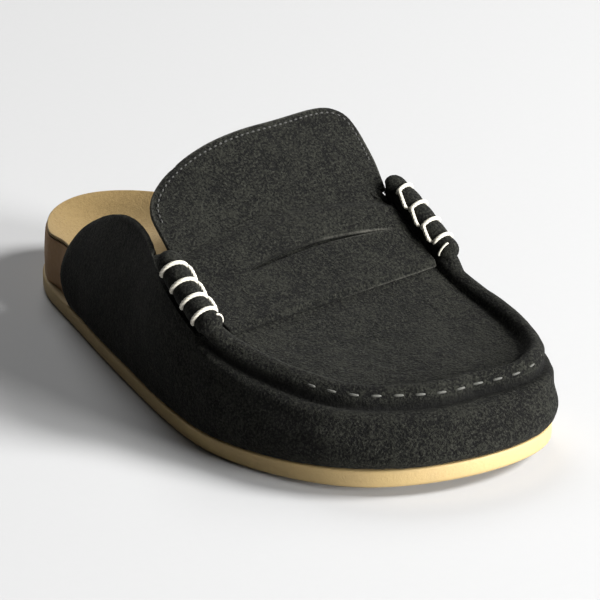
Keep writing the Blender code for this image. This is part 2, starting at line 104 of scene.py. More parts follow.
class LoaferColours(bpy.types.PropertyGroup):
    """Colours of the finishes, as linear values."""

    suede: paint("Suede", "Lit nap of the charcoal suede", (0.0130, 0.0134, 0.0101))
    # Dark flecks of the nap, and also the colour of the painted shade in grooves, bites, inner faces and
    # under the strap's shaded edge
    suede_dark_and_painted_shade: paint("Deep suede", "Dark flecks and hollows of the suede", (0.0010, 0.0010, 0.0008))
    # On the strap's cut edge this paler colour is a painted highlight, shown on its lit side only
    suede_edge: paint("Cut edge", "Cut edges and rubbed places of the suede", (0.088, 0.086, 0.073))
    lining: paint("Lining", "Napped footbed lining", (0.282, 0.197, 0.083))
    lining_worn: paint("Worn lining", "Darker, flattened nap of the lining", (0.215, 0.144, 0.059))
    cork: paint("Cork side", "Painted cork side of the footbed", (0.26, 0.155, 0.075))
    cork_fleck: paint("Cork flecks", "Paler grains in the cork", (0.36, 0.23, 0.115))
    rubber: paint("Rubber", "Outsole rubber", (0.385, 0.276, 0.120))
    rubber_dull: paint("Dull rubber", "Scuffed outsole rubber", (0.325, 0.234, 0.110))
    cord: paint("Cord", "Off-white whip-stitch cord", (0.60, 0.58, 0.50))
    cord_shade: paint("Cord grooves", "Grooves between the strands of the cord", (0.36, 0.32, 0.24))
    thread: paint("Ridge thread", "Thread of the dashes on the toe ridge", (0.060, 0.060, 0.050))
    thread_dark: paint("Tongue thread", "Tone-on-tone thread of the tongue", (0.026, 0.026, 0.022))
    floor: paint("Floor", "Pale floor", (0.485, 0.485, 0.485))


class Row:
    """One row of a table, its columns read by name."""

    def __init__(self, **columns):
        self.__dict__.update(columns)


# Fineness of the meshes
SOLE_POINTS = 320
FACE_RINGS = 12
SIDE_RINGS = 12
BED_RINGS = 24
LINING_RINGS = 40
UPPER_COLUMNS = 170
WALL_ROWS = 40
RIDGE_ROWS = 22
APRON_ROWS = 52
TONGUE_ROWS, TONGUE_COLUMNS = 90, 140
STRAP_COLUMNS = 230
STRAP_ROWS = {"front": 44, "rear": 36}
ROLL_ROWS, ROLL_SIDES = 190, 56
CORD_ROWS, CORD_SIDES = 44, 18
STITCH_ROWS, STITCH_SIDES = 7, 7

# Smaller named sizes, in metres
CLEARANCE = 0.3 * MM
SOLE_EDGE_RADIUS = 1.6 * MM
UPPER_INSET = 0.6 * MM
SIDE_BULGE = 1.2 * MM
TOE_BULGE = 2.8 * MM
MEDIAL_LIFT = 4.0 * MM
HEEL_LEDGE = 1.0 * MM
RIM_LEAN = 1.6 * MM
RIM_ROUND = 1.2 * MM
BED_SWELL = 0.35 * MM
LINING_SEAT = 0.1 * MM
LINING_ROUND = 0.5 * MM
LINING_UNDERCUT = 0.4 * MM
THROAT_SETBACK = 1.5 * MM
GROOVE_WIDTH = {"wall": 0.8 * MM, "ridge": 0.7 * MM}
TONGUE_SEAM = 0.5 * MM
TONGUE_SIDE_GAP = -3.2 * MM
TONGUE_SHIFT = 1.7 * MM
TONGUE_CROWN = 5.0 * MM
TONGUE_FLARE = 1.0 * MM
TONGUE_SKEW = 8.0 * MM
TONGUE_EDGE_DROP = 0.35 * MM
STRAP_SEAT = 0.7 * MM
STRAP_SIDE_GAP = 0.3 * MM
STRAP_THINNED = 0.2 * MM
LIP_CURL = 0.20 * MM
ROLL_SEAT = 0.5 * MM
ROLL_OVER = 1.2 * MM
ROLL_OVER_DROP = 2.8 * MM
TAIL_SINK = 0.5 * MM
LINK_PROUD = 0.25 * MM
DASH_SINK = 0.9 * MM
TONGUE_STITCH_SINK = 0.12 * MM

# Shares and powers of the forms
FULL_TURN = 2.0 * math.pi
FLAT_UNTIL = 0.70
CORE_SHARE = 0.12
SWELL_SKEW, SWELL_POWER = 0.75, 1.2
LEAN_POWER = 2.4
WING_FADE, WING_FADE_POWER = 0.6, 2.5
BED_POWER = 3.2
BED_LEANT = 0.8
LINING_SPACING = 1.25
COLUMN_SPACING = 0.9
WALL_SPACING = 1.35
THROAT_SPREAD = 0.05
ROLL_OVER_WIDTH = 0.8
CREASE_ENDS = (0.15, 0.85)
TONGUE_STRAIGHT = 0.35
TONGUE_CORNER = 1.5
WAVES = 9
WAVE_STRETCH = (0.7, 1.5)

# A sheet's rim: its roundness as a share of the thickness, and the wear marked on its rings and beside it,
# then the painted shade on the sheet's inner face
RIM_ROUNDNESS = 0.3
RIM_WEAR = (1.0, 0.5, 0.1)
EDGE_WEAR = 0.5
INSIDE_PAINTED_SHADE = 0.35

# A twisted cord's radius: least in the grooves, and what the strands add with a power
STRAND_LEAST, STRAND_GAIN, STRAND_POWER = 0.84, 0.20, 0.6

# Sole outline: half widths as shares of the local width, which runs from the heel width to the ball width
OUTLINE = [
    Row(at=0.03, lateral=0.270, medial=0.270),
    Row(at=0.13, lateral=0.500, medial=0.486),
    Row(at=0.21, lateral=0.550, medial=0.485),
    Row(at=0.36, lateral=0.553, medial=0.400),
    Row(at=0.49, lateral=0.538, medial=0.395),
    Row(at=0.62, lateral=0.560, medial=0.430),
    Row(at=0.71, lateral=0.567, medial=0.445),
    Row(at=0.79, lateral=0.525, medial=0.445),
    Row(at=0.86, lateral=0.460, medial=0.430),
    Row(at=0.94, lateral=0.325, medial=0.375),
]
TOE_TIP = 0.068

# Top edge of the side wall: its lean as a share of the ball width, its height as a share of the instep height
WALL_TOP = [
    Row(at=0.10, lateral=0.050, medial=0.010, height=0.45),
    Row(at=0.20, lateral=0.095, medial=0.020, height=0.72),
    Row(at=0.32, lateral=0.098, medial=0.020, height=0.88),
    Row(at=0.42, lateral=0.090, medial=-0.005, height=0.96),
    Row(at=0.50, lateral=0.060, medial=-0.030, height=0.965),
    Row(at=0.57, lateral=0.022, medial=-0.052, height=0.90),
    Row(at=0.68, lateral=0.035, medial=-0.036, height=0.66),
    Row(at=0.78, lateral=0.064, medial=-0.044, height=0.54),
    Row(at=0.88, lateral=0.085, medial=-0.028, height=0.48),
    Row(at=0.95, lateral=0.125, medial=0.040, height=0.465),
    Row(at=1.00, lateral=0.150, medial=0.150, height=0.46),
]

# Rear edge of a wing, from the sole up along its crest to the throat
WING_EDGE = [
    Row(rise=0.00, at=0.226, height=0.117),
    Row(rise=0.12, at=0.200, height=0.270),
    Row(rise=0.24, at=0.205, height=0.480),
    Row(rise=0.38, at=0.240, height=0.690),
    Row(rise=0.55, at=0.325, height=0.890),
    Row(rise=0.75, at=0.425, height=0.985),
    Row(rise=1.00, at=0.525, height=0.960),
]

# Height of the apron along the foot, and of the tongue behind the throat, as shares of the instep height
APRON_LINE = [
    Row(at=0.40, height=1.600),
    Row(at=0.45, height=1.375),
    Row(at=0.49, height=1.225),
    Row(at=0.53, height=1.095),
    Row(at=0.57, height=0.978),
    Row(at=0.62, height=0.835),
    Row(at=0.68, height=0.710),
    Row(at=0.76, height=0.605),
    Row(at=0.84, height=0.545),
    Row(at=0.92, height=0.515),
    Row(at=1.00, height=0.500),
]

# Top of the footbed: its middle and its two rims as shares of the heel rim height
BED_LINE = [
    Row(at=0.00, middle=0.56, lateral=1.00, medial=1.00),
    Row(at=0.16, middle=0.54, lateral=1.00, medial=1.00),
    Row(at=0.30, middle=0.58, lateral=0.97, medial=1.02),
    Row(at=0.45, middle=0.60, lateral=0.84, medial=0.97),
    Row(at=0.60, middle=0.53, lateral=0.66, medial=0.76),
    Row(at=0.75, middle=0.48, lateral=0.58, medial=0.60),
    Row(at=0.88, middle=0.45, lateral=0.52, medial=0.54),
    Row(at=1.00, middle=0.43, lateral=0.49, medial=0.49),
]

# Soft unevenness of the surfaces: how far, about how far apart, in metres, and the seed of its random draws.
# The outsole's is a share of its plan.
UNEVEN = {
    "outsole": Row(by=0.0012, spacing=0.05, seed=3),
    "lining": Row(by=0.12 * MM, spacing=0.03, seed=5),
    "upper": Row(by=0.55 * MM, spacing=0.034, seed=11),
    "upper_nap": Row(by=0.18 * MM, spacing=0.009, seed=12),
    "upper_hem": Row(by=0.25 * MM, spacing=0.004, seed=13),
    "tongue": Row(by=0.40 * MM, spacing=0.030, seed=21),
    "strap": Row(by=0.25 * MM, spacing=0.030, seed=31),
}

# Places along the foot, as shares of the length
WIDTH_ZONE = (0.15, 0.60)
BULGE_ZONE = (0.60, 0.95)
WING_ZONE = (0.115, 0.165)
MIDDLE_LINE = (0.12, 0.86)
APRON_SPAN = (0.40, 0.80)
LIFT_FADE = (0.52, 0.75)
ROLL_ZONE = {"lateral": (0.566, 0.682), "medial": (0.548, 0.668)}
RIDGE_START = {"lateral": (0.660, 0.700), "medial": (0.645, 0.685)}
TOE_ZONE = {"lateral": (0.86, 0.95), "medial": (0.93, 0.99)}
THROAT_CORNER = 0.550
THROAT_END = 0.554
THROAT_BOW = 0.024
STRAP_REAR = 0.572
STRAP_REAR_BOW = 0.030
STRAP_FRONT = {"lateral": 0.700, "medial": 0.681}
STRAP_WORN = (0.575, 0.600)
SLIT_MIDDLE = {"lateral": 0.613, "medial": 0.594}
SLIT_BOW = 0.022
DASH_START = 0.83
DASH_FADE = 0.03

# The ridge's bump along its tube and at the toe, and how much higher its medial side stands
TUBE_SKEW, TUBE_POWER = 1.0, 0.55
TOE_SKEW, TOE_POWER = 0.92, 1.10
MEDIAL_SWELL = 0.35
TOE_BLEND = 0.5

# The tongue: where it widens and where its edge gets thinner, as shares, and where its edge begins to look
# worn, in metres behind the throat
FLARE_ZONE = (0.0, 0.35)
THIN_ZONE = (0.90, 1.0)
TONGUE_WORN = (2.0 * MM, 6.0 * MM)

# The strap: its slit's ends and opening, its lips, its edges, which turn down and thin, and the painted light
# on its
# pale cut edge: a painted highlight where x lies above LIT_SIDE, a span of x in metres, and painted shade
# below it, SHADED its darkness
SLIT_ENDS = (0.26, 0.935)
OPENING = Row(scale=2.3, power=0.9, lessening=0.25, least=0.18, gain=0.62)
LIP = Row(widths=1.2, beyond=0.004)
FRONT_EDGE = Row(drop=1.45 * MM, rows=(0.0, 0.06), thinned=0.66)
REAR_EDGE = Row(drop=1.85 * MM, rows=(0.86, 1.0), thinned=0.62)
LIT_SIDE = (-0.010, 0.030)
SHADED = 0.8

# A roll, in shares of its zone and of its radius: dome, shoulder, tail and the bites of the cord's loops,
# with their painted shade
DOME = 0.05
SHOULDER_ZONE, SHOULDER_DEPTH = (0.96, 1.05), 0.30
TAIL_END, TAIL_TIP, TAIL_CUT = 1.75, 0.06, 0.059
TAIL_PLACE, TAIL_ZONE = 0.46, (0.98, 1.45)
THINNEST = 0.03
LOOPS = (0.16, 0.39, 0.62, 0.85)
BITE_WIDTH, BITE_DEPTH = 0.045, 0.10
BITE_SHADE_WIDTH, BITE_SHADE = 0.030, 0.7
SEAT_LEAST, TAIL_DEPTH = 0.33, 0.35
SKIN_SPAN, SKIN_PLACES = (-0.02, 1.10), 200

# The whip cord: angles in degrees from the seat's normal towards the outside, places as shares of the roll.
# LAST is the thinner link in front, which goes under the roll.
LOOP_ARC, LOOP_SLANT = (118.0, -90.0), 0.035
LINK_ARC, LINK_GAPS = (-66.0, -88.0), (0.01, 0.02)
LAST_ARC, LAST_PLACE, LAST_SLANT = (-30.0, -110.0), 0.985, 0.02
LAST_SUNK, LAST_THIN = 0.5, 0.55
CORD_PROUD, CORD_DIVE, CORD_DIVE_POWER = 0.55, 1.6, 10
CORD_TAPER, CORD_TAPER_POWER = 0.35, 12
STRANDS, TWIST = 3, 1500.0

# The stitches: how they arch and taper, how far out on the ridge the dashes lie, and how thick they are
STITCH_PROUD, STITCH_DIVE, STITCH_TAPER, STITCH_POWER = 0.10, 1.1, 0.35, 3
DASH_SHARE = {"side": 0.22, "tip": 0.17}
DASH_TIP_WIDTH, DASH_END = 0.35, (-0.60, -0.48)
DASH_PLACES, DASH_STEP, DASH_THREAD, DASH_SHADE = 900, 6, 1.35, 1.2
RIDGE_STEP = 0.03
TONGUE_STITCH_START, TONGUE_STITCH_SHARE = 0.26, 0.62
TONGUE_SIDE_PLACES, TONGUE_END_PLACES = 260, 420
INSIDE_U, INSIDE_V = 0.97, 0.985

# Creases of the worn suede: two ends in millimetres, how wide and how deep; a negative depth is a ridge
CREASES = [
    Row(start=(-50, -97, 21), end=(-38, -110, 17), width=2.6, depth=-0.7),
    Row(start=(-46, -100, 16), end=(-30, -119, 14), width=3.4, depth=0.6),
    Row(start=(-61, -58, 30), end=(-57, -78, 16), width=4.0, depth=0.8),
    Row(start=(-60, -38, 34), end=(-62, -52, 16), width=4.5, depth=0.7),
    Row(start=(52, -62, 30), end=(50, -84, 18), width=4.0, depth=0.8),
    Row(start=(-30, -72, 36), end=(26, -76, 37), width=6.0, depth=0.6),
    Row(start=(-24, -90, 32), end=(20, -96, 32), width=7.0, depth=-0.4),
    Row(start=(-20, -128, 18), end=(6, -131, 17), width=5.0, depth=0.5),
]


# The foot form


def sizes():
    """The sizes of the panel, in metres."""
    return bpy.context.scene.loafer_sizes


def colours():
    """The colours of the panel."""
    return bpy.context.scene.loafer_colours


def between(first, second, share):
    """The value at a share of the way from the first to the second."""
    return first + (second - first) * share


def smooth_step(low, high, value):
    """Zero below low, one above high, with a soft start and end between them."""
    share = np.clip((value - low) / (high - low), 0.0, 1.0)
    return share * share * (3.0 - 2.0 * share)


def bell(away, width):
    """One where away is zero, falling on both sides: e to the minus square of away over the width."""
    return np.exp(-((away / width) ** 2))


def unit(vectors):
    """Vectors of length one with the same directions."""
    return vectors / np.maximum(np.linalg.norm(vectors, axis=-1, keepdims=True), 1e-12)


def upward(vectors):
    """The same vectors, turned round where they point down."""
    return vectors * np.sign(vectors[:, 2:])


def column(rows, name):
    """One column of a table."""
    return np.array([getattr(row, name) for row in rows])


def spline(knots, values, at):
    """Natural cubic curve through the knots, read at the given places."""
    knots = np.asarray(knots, float)
    values = np.asarray(values, float)
    step = np.diff(knots)
    slope = np.diff(values) / step
    count = len(knots)
    inner = np.arange(1, count - 1)
    system = np.eye(count)
    system[inner, inner - 1] = step[:-1]
    system[inner, inner] = 2.0 * (step[:-1] + step[1:])
    system[inner, inner + 1] = step[1:]
    right = np.zeros(count)
    right[1:-1] = 6.0 * np.diff(slope)
    bend = np.linalg.solve(system, right)
    at = np.clip(np.asarray(at, float), knots[0], knots[-1])
    i = np.clip(np.searchsorted(knots, at, side="right") - 1, 0, count - 2)
    before = at - knots[i]
    after = knots[i + 1] - at
    cubic = (bend[i] * after**3 + bend[i + 1] * before**3) / (6.0 * step[i])
    left = (values[i] / step[i] - bend[i] * step[i] / 6.0) * after
    return cubic + left + (values[i + 1] / step[i] - bend[i + 1] * step[i] / 6.0) * before


def profile(rows, name, at, knots=None):
    """One column of a table as a curve over the places of its rows, or over other knots."""
    return spline(column(rows, "at") if knots is None else knots, column(rows, name), at)


def read_at(at, knots, vectors):
    """Points or directions read between the knots in straight steps."""
    return np.stack([np.interp(at, knots, vectors[:, k]) for k in range(3)], axis=-1)


def turn_of(share):
    """Angle round the outline, 0 at the heel and pi at the toe, of a share of the length."""
    return np.arccos(np.clip(1.0 - 2.0 * np.asarray(share, float), -1.0, 1.0))


def share_of(turn):
    """Share of the length of a turn round the outline."""
    return (1.0 - np.cos(turn)) / 2.0


def place_at(share):
    """Place y of a share of the length."""
    return sizes().shoe_length * (0.5 - share)


def mirrored(turn):
    """Turn of the same place on the other side of the shoe."""
    return FULL_TURN - turn


def side_turn(share, side):
    """Turn of a share of the length on one side of the shoe."""
    return turn_of(share) if side == "lateral" else mirrored(turn_of(share))


def outline(turn):
    """Sole edge in plan: half widths splined over the turn, y going as the cosine of the turn."""
    size = sizes()
    at = column(OUTLINE, "at")
    width = between(size.heel_width, size.ball_width, smooth_step(*WIDTH_ZONE, at))
    lateral = -column(OUTLINE, "lateral") * width
    medial = column(OUTLINE, "medial") * width
    knots = turn_of(at)
    loop_knots = np.concatenate([[0.0], knots, [math.pi], mirrored(knots[::-1])])
    loop_x = np.concatenate([[0.0], lateral, [TOE_TIP * size.ball_width], medial[::-1]])
    turned = np.concatenate([loop_knots - FULL_TURN, loop_knots, loop_knots + FULL_TURN])
    return spline(turned, np.tile(loop_x, 3), turn), place_at(share_of(turn))


def plan(turn, inset):
    """Sole edge moved in along its own normal by the inset."""
    nudge = 1e-4
    x, y = outline(turn)
    x0, y0 = outline(turn - nudge)
    x1, y1 = outline(turn + nudge)
    size = np.hypot(x1 - x0, y1 - y0)
    return x - inset * (y1 - y0) / size, y + inset * (x1 - x0) / size


def along(y):
    """Share of the length at a place y."""
    return 0.5 - np.asarray(y) / sizes().shoe_length


def lift(y):
    """Toe spring: height of the sole's underside, growing with the square of the share past the flat part."""
    share = np.clip((along(y) - FLAT_UNTIL) / (1.0 - FLAT_UNTIL), 0.0, None)
    return sizes().toe_spring * share * share


def seat_height(y):
    """Height just above the outsole, where the footbed and the upper begin."""
    return lift(y) + sizes().outsole + CLEARANCE


def side_mix(turn):
    """Zero on the lateral side, one on the medial side, blended round the toe."""
    return smooth_step(math.pi - TOE_BLEND, math.pi + TOE_BLEND, turn)


def zone_share(zones, turn):
    """How far a place lies through a zone of the length, whose ends blend from side to side round the toe."""
    mix = side_mix(turn)
    begin, full = (between(*ends, mix) for ends in zip(zones["lateral"], zones["medial"]))
    return smooth_step(begin, full, share_of(turn))


def instep_lift(share):
    """How much higher the medial side stands, fading to nothing over the forefoot."""
    return MEDIAL_LIFT * (1.0 - smooth_step(*LIFT_FADE, share))


def wall_top(turn):
    """Inset and height of the top edge of the side wall."""
    size = sizes()
    half = np.where(turn > math.pi, mirrored(turn), turn)
    knots = turn_of(column(WALL_TOP, "at"))
    names = ("lateral", "medial", "height")
    lateral, medial, height = (profile(WALL_TOP, name, half, knots) for name in names)
    mix = side_mix(turn)
    height = size.instep * height + instep_lift(share_of(half)) * mix / 2.0
    return size.ball_width * between(lateral, medial, mix), height


def apron_height(x, y):
    """Height of the apron and of the tongue's middle: a line along the foot, tilted up to the medial side."""
    size = sizes()
    share = along(y)
    return size.instep * profile(APRON_LINE, "height", share) + instep_lift(share) * x / size.ball_width


def wall_inset(turn, z):
    """Inset of the upper's outer surface: it leans in with a power of the height, less a low bulge.

    The bulge is a power of the sine of half a turn times a power of the height.
    """
    top_inset, top_height = wall_top(turn)
    y = outline(turn)[1]
    low = seat_height(y)
    share = np.clip((z - low) / (top_height - low), 0.0, 1.0)
    bulge = between(SIDE_BULGE, TOE_BULGE, smooth_step(*BULGE_ZONE, along(y)))
    swell = np.sin(math.pi * share**SWELL_SKEW) ** SWELL_POWER
    return between(UPPER_INSET, top_inset, share**LEAN_POWER) - bulge * swell


def ridge_raised(turn):
    """Zero beside the rolls, one over the toe."""
    return zone_share(RIDGE_START, turn)


def ridge_line(turn, share):
    """Point across the ridge: a straight line from the wall to the apron plus a bump.

    The bump is a power of the sine of half a turn times a power of the share, the skew. A skew below one
    moves its top towards the wall, and a power below one makes it fuller.
    """
    size = sizes()
    inset, low = wall_top(turn)
    x, y = plan(turn, inset + share * size.ridge_width)
    high = apron_height(*plan(turn, inset + size.ridge_width))
    toe = zone_share(TOE_ZONE, turn)
    skew = between(TUBE_SKEW, TOE_SKEW, toe)
    power = between(TUBE_POWER, TOE_POWER, toe)
    rise = size.ridge_rise * ridge_raised(turn) * (1.0 + MEDIAL_SWELL * side_mix(turn) * (1.0 - toe))
    bump = rise * np.sin(math.pi * share**skew) ** power
    return np.stack(np.broadcast_arrays(x, y, between(low, high, share) + bump), axis=-1)


def wing_grid(q, rise):
    """Turn and height on the side wall: q runs from the wing's rear edge to the toe, rise from sole to ridge.

    Both go straight from the sole to the top. Towards the rear edge they are moved on to the wing's own
    curve, with a power of what is left of the fade.
    """
    size = sizes()
    rises = column(WING_EDGE, "rise")
    places = turn_of(profile(WING_EDGE, "at", rise, rises))
    heights = profile(WING_EDGE, "height", rise, rises) * size.instep
    sole_start, top_start = (turn_of(row.at) for row in (WING_EDGE[0], WING_EDGE[-1]))
    sole_turn = between(sole_start, math.pi, q)
    top_turn = between(top_start, math.pi, q)
    start_base = size.outsole + CLEARANCE
    base = start_base + lift(outline(sole_turn)[1])
    start_top = wall_top(top_start)[1]
    top = wall_top(top_turn)[1]
    fade = (1.0 - np.clip(q / WING_FADE, 0.0, 1.0)) ** WING_FADE_POWER
    turn = between(sole_turn, top_turn, rise) + fade * (places - between(sole_start, top_start, rise))
    height = between(base, top, rise) + fade * (heights - between(start_base, start_top, rise))
    return turn, height


def apron_sides(y, gap=0.0):
    """Places x of the apron's two edges beside the ridge, at a place y, each moved in by the gap."""
    edges = []
    for side, inward in (("lateral", gap), ("medial", -gap)):
        points = ridge_line(side_turn(np.linspace(*APRON_SPAN, 160), side), 1.0)
        points = points[np.argsort(points[:, 1])]
        edges.append(np.interp(y, points[:, 1], points[:, 0]) + inward)
    return edges


def throat(x):
    """Place y of the apron's rear edge, a shallow arc that lies under the strap."""
    left, right = apron_sides(place_at(THROAT_END))
    across = (2.0 * x - left - right) / (right - left)
    return place_at(THROAT_END + THROAT_BOW * (1.0 - across**2))


def unevenness(name, points):
    """Soft hand-made unevenness of one surface: the mean of nine fixed sine waves, times its size."""
    row = UNEVEN[name]
    chance = np.random.default_rng(row.seed)
    ways = unit(chance.normal(size=(WAVES, 3))) * chance.uniform(*WAVE_STRETCH, (WAVES, 1))
    phase = chance.uniform(0.0, FULL_TURN, WAVES)
    return row.by * np.sin(points @ ways.T * FULL_TURN / row.spacing + phase).mean(axis=-1)


def creased(points, normal):
    """Points moved along their normal by each crease: a soft trough about the line between its two ends."""
    moved = points.copy()
    for crease in CREASES:
        start = np.array(crease.start) * MM
        end = np.array(crease.end) * MM
        axis = end - start
        share = np.clip(((points - start) @ axis) / (axis @ axis), 0.0, 1.0)
        away = np.linalg.norm(points - start - share[..., None] * axis, axis=-1)
        trough = bell(away, crease.width * MM) * np.sin(math.pi * between(*CREASE_ENDS, share))
        moved -= normal * (crease.depth * MM * trough)[..., None]
    return moved


def grid_normal(outer):
    """Normal at each point of a grid. A corner takes its inner neighbour's, which is always defined."""
    normal = unit(np.cross(np.gradient(outer, axis=1), np.gradient(outer, axis=0)))
    for row, inner_row in ((0, 1), (-1, -2)):
        for place, inner_place in ((0, 1), (-1, -2)):
            normal[row, place] = normal[inner_row, inner_place]
    return normal


# Meshes


def piece(name, points, face_groups, material, node=None, marks=None):
    """Object at the origin from points and groups of faces, smooth, with its marks, riding on the frame."""
    mesh = bpy.data.meshes.new(name)
    corners = np.concatenate([group.ravel() for group in face_groups])
    totals = np.concatenate([np.full(len(group), group.shape[1]) for group in face_groups])
    mesh.vertices.add(len(points))
    mesh.vertices.foreach_set("co", np.ascontiguousarray(points, np.float32).ravel())
    mesh.loops.add(len(corners))
    mesh.loops.foreach_set("vertex_index", corners.astype(np.int32))
    mesh.polygons.add(len(totals))
    mesh.polygons.foreach_set("loop_start", np.concatenate([[0], np.cumsum(totals)[:-1]]).astype(np.int32))
    mesh.update(calc_edges=True)
    mesh.shade_smooth()
    for mark, values in (marks or {}).items():
        layer = mesh.attributes.new(mark, "FLOAT", "POINT")
        layer.data.foreach_set("value", np.ascontiguousarray(values, np.float32).ravel())
    mesh.materials.append(material)
    obj = bpy.data.objects.new(name, mesh)
    bpy.context.scene.collection.objects.link(obj)
    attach(obj, "root")
    if node:
        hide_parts(node)
    return obj


def shell(outer, thickness, keep=None, hollow=None):
    """Closed sheet: the outer grid, the same grid moved in along its normal, and a rounded rim between them.

    The rim's rings lie at the middle of the wall, plus half the wall times the cosine along the normal, plus
    the roundness times the sine away from the sheet. Marks: edge is the wear at the rim; the painted shade is
    as given, and at least a set share on the inner face.
    """
    rows, columns = outer.shape[:2]
    count = rows * columns
    normal = grid_normal(outer).reshape(-1, 3)
    flat = outer.reshape(-1, 3)
    thickness = np.broadcast_to(thickness, (rows, columns)).reshape(-1, 1)
    inner = flat - normal * thickness
    ids = np.arange(count).reshape(rows, columns)
    cells = np.stack([ids[:-1, :-1], ids[:-1, 1:], ids[1:, 1:], ids[1:, :-1]], axis=-1)
    cells = cells.reshape(-1, 4) if keep is None else cells[keep]
    edges = np.concatenate([cells[:, [k, (k + 1) % 4]] for k in range(4)])
    border = edges[~np.isin(edges[:, 0] * count + edges[:, 1], edges[:, 1] * count + edges[:, 0])]
    start, end = border.T
    tangent = unit(flat[end] - flat[start])
    away = np.zeros_like(flat)
    np.add.at(away, start, np.cross(tangent, normal[start]))
    np.add.at(away, end, np.cross(tangent, normal[end]))
    rim = np.unique(border)
    place = np.zeros(count, int)
    place[rim] = np.arange(len(rim))
    away = unit(away[rim])
    middle = (flat[rim] + inner[rim]) / 2.0
    half = (flat[rim] - inner[rim]) / 2.0
    points = [flat, inner]
    faces = [cells, cells[:, ::-1] + count]
    last_start, last_end = start, end
    for k, angle in enumerate(np.linspace(0.0, math.pi, len(RIM_WEAR) + 2)[1:-1]):
        bulge = away * thickness[rim] * RIM_ROUNDNESS * math.sin(angle)
        points.append(middle + half * math.cos(angle) + bulge)
        shift = 2 * count + k * len(rim)
        faces.append(np.stack([last_end, last_start, place[start] + shift, place[end] + shift], axis=1))
        last_start, last_end = place[start] + shift, place[end] + shift
    faces.append(np.stack([last_end, last_start, start + count, end + count], axis=1))
    hollow = np.zeros(count) if hollow is None else hollow.ravel()
    edge = np.zeros(2 * count)
    edge[rim] = EDGE_WEAR
    rim_edge = np.repeat(RIM_WEAR, len(rim))
    # The inner face gets painted shade of at least a set share; the rim gets none.
    marks = {
        "edge": np.concatenate([edge, rim_edge]),
        "hollow": np.concatenate([hollow, np.maximum(hollow, INSIDE_PAINTED_SHADE), np.zeros(len(rim_edge))]),
    }
    return np.concatenate(points), faces, marks


def ringed(rings):
    """Closed solid from rings round the foot. Cells from the lateral to the medial side close both ends."""
    count = rings[0].shape[0]
    ids = np.arange(len(rings) * count).reshape(len(rings), count)
    ahead = np.roll(ids, -1, axis=1)
    sides = np.stack([ids[:-1], ahead[:-1], ahead[1:], ids[1:]], axis=-1).reshape(-1, 4)
    i = np.arange(1, count // 2 - 1)
    across = np.stack([i, i + 1, count - i - 1, count - i], axis=1)
    half = count // 2
    tips = np.array([[0, 1, count - 1], [half - 1, half, half + 1]])
    top = (len(rings) - 1) * count
    groups = [sides, across[:, ::-1], across + top, tips[:, ::-1], tips + top]
    return np.concatenate(rings), groups


def tubes(paths, upward, radius, sides, strands=0, twist=0.0):
    """Closed tubes along many paths at once, an array of paths by rows: rings of the radius about each path.

    Strands give a twisted cord: the radius swells with a power of the sine of the angle times half the
    strands, and the angle turns with the run along the cord.
    """
    count, rows = paths.shape[:2]
    ahead = unit(np.gradient(paths, axis=1))
    sideways = unit(np.cross(ahead, upward))
    upright = np.cross(sideways, ahead)
    angle = np.arange(sides) * FULL_TURN / sides
    size = np.broadcast_to(radius, (count, rows))[..., None]
    groove = np.zeros((count, rows, sides))
    if strands:
        steps = np.linalg.norm(np.diff(paths, axis=1), axis=-1)
        run = np.concatenate([np.zeros((count, 1)), np.cumsum(steps, axis=1)], axis=1)
        wave = np.abs(np.sin(strands / 2.0 * (angle + twist * run[..., None])))
        # Painted shade in the grooves between the strands, where the radius is least
        groove = 1.0 - wave
        size = size * (STRAND_LEAST + STRAND_GAIN * wave**STRAND_POWER)
    size = np.broadcast_to(size, (count, rows, sides))
    around = np.cos(angle)[:, None] * sideways[:, :, None] + np.sin(angle)[:, None] * upright[:, :, None]
    points = paths[:, :, None] + around * size[..., None]
    ids = np.arange(count * rows * sides).reshape(count, rows, sides)
    beside = np.roll(ids, -1, axis=2)
    quads = np.stack([beside[:, :-1], ids[:, :-1], ids[:, 1:], beside[:, 1:]], axis=-1).reshape(-1, 4)
    return points.reshape(-1, 3), [quads, ids[:, 0], ids[:, -1, ::-1]], {"hollow": groove.ravel()}


# Materials


class Value:
    """A number that varies over a surface: a shader socket whose operators add Math nodes."""

    def __init__(self, finish, socket):
        self.finish = finish
        self.socket = socket

    def math(self, operation, first, second, clamp=False):
        settings = {"operation": operation, "use_clamp": clamp}
        node = self.finish.node("ShaderNodeMath", settings, {0: first, 1: second})
        return Value(self.finish, node.outputs[0])

    def __add__(self, other):
        return self.math("ADD", self, other)

    def __radd__(self, other):
        return self.math("ADD", other, self)

    def __sub__(self, other):
        return self.math("SUBTRACT", self, other)

    def __rsub__(self, other):
        return self.math("SUBTRACT", other, self)

    def __mul__(self, other):
        return self.math("MULTIPLY", self, other)

    def __rmul__(self, other):
        return self.math("MULTIPLY", other, self)

    def limited(self):
        """The same number, held between zero and one."""
        return self.math("ADD", self, 0.0, clamp=True)


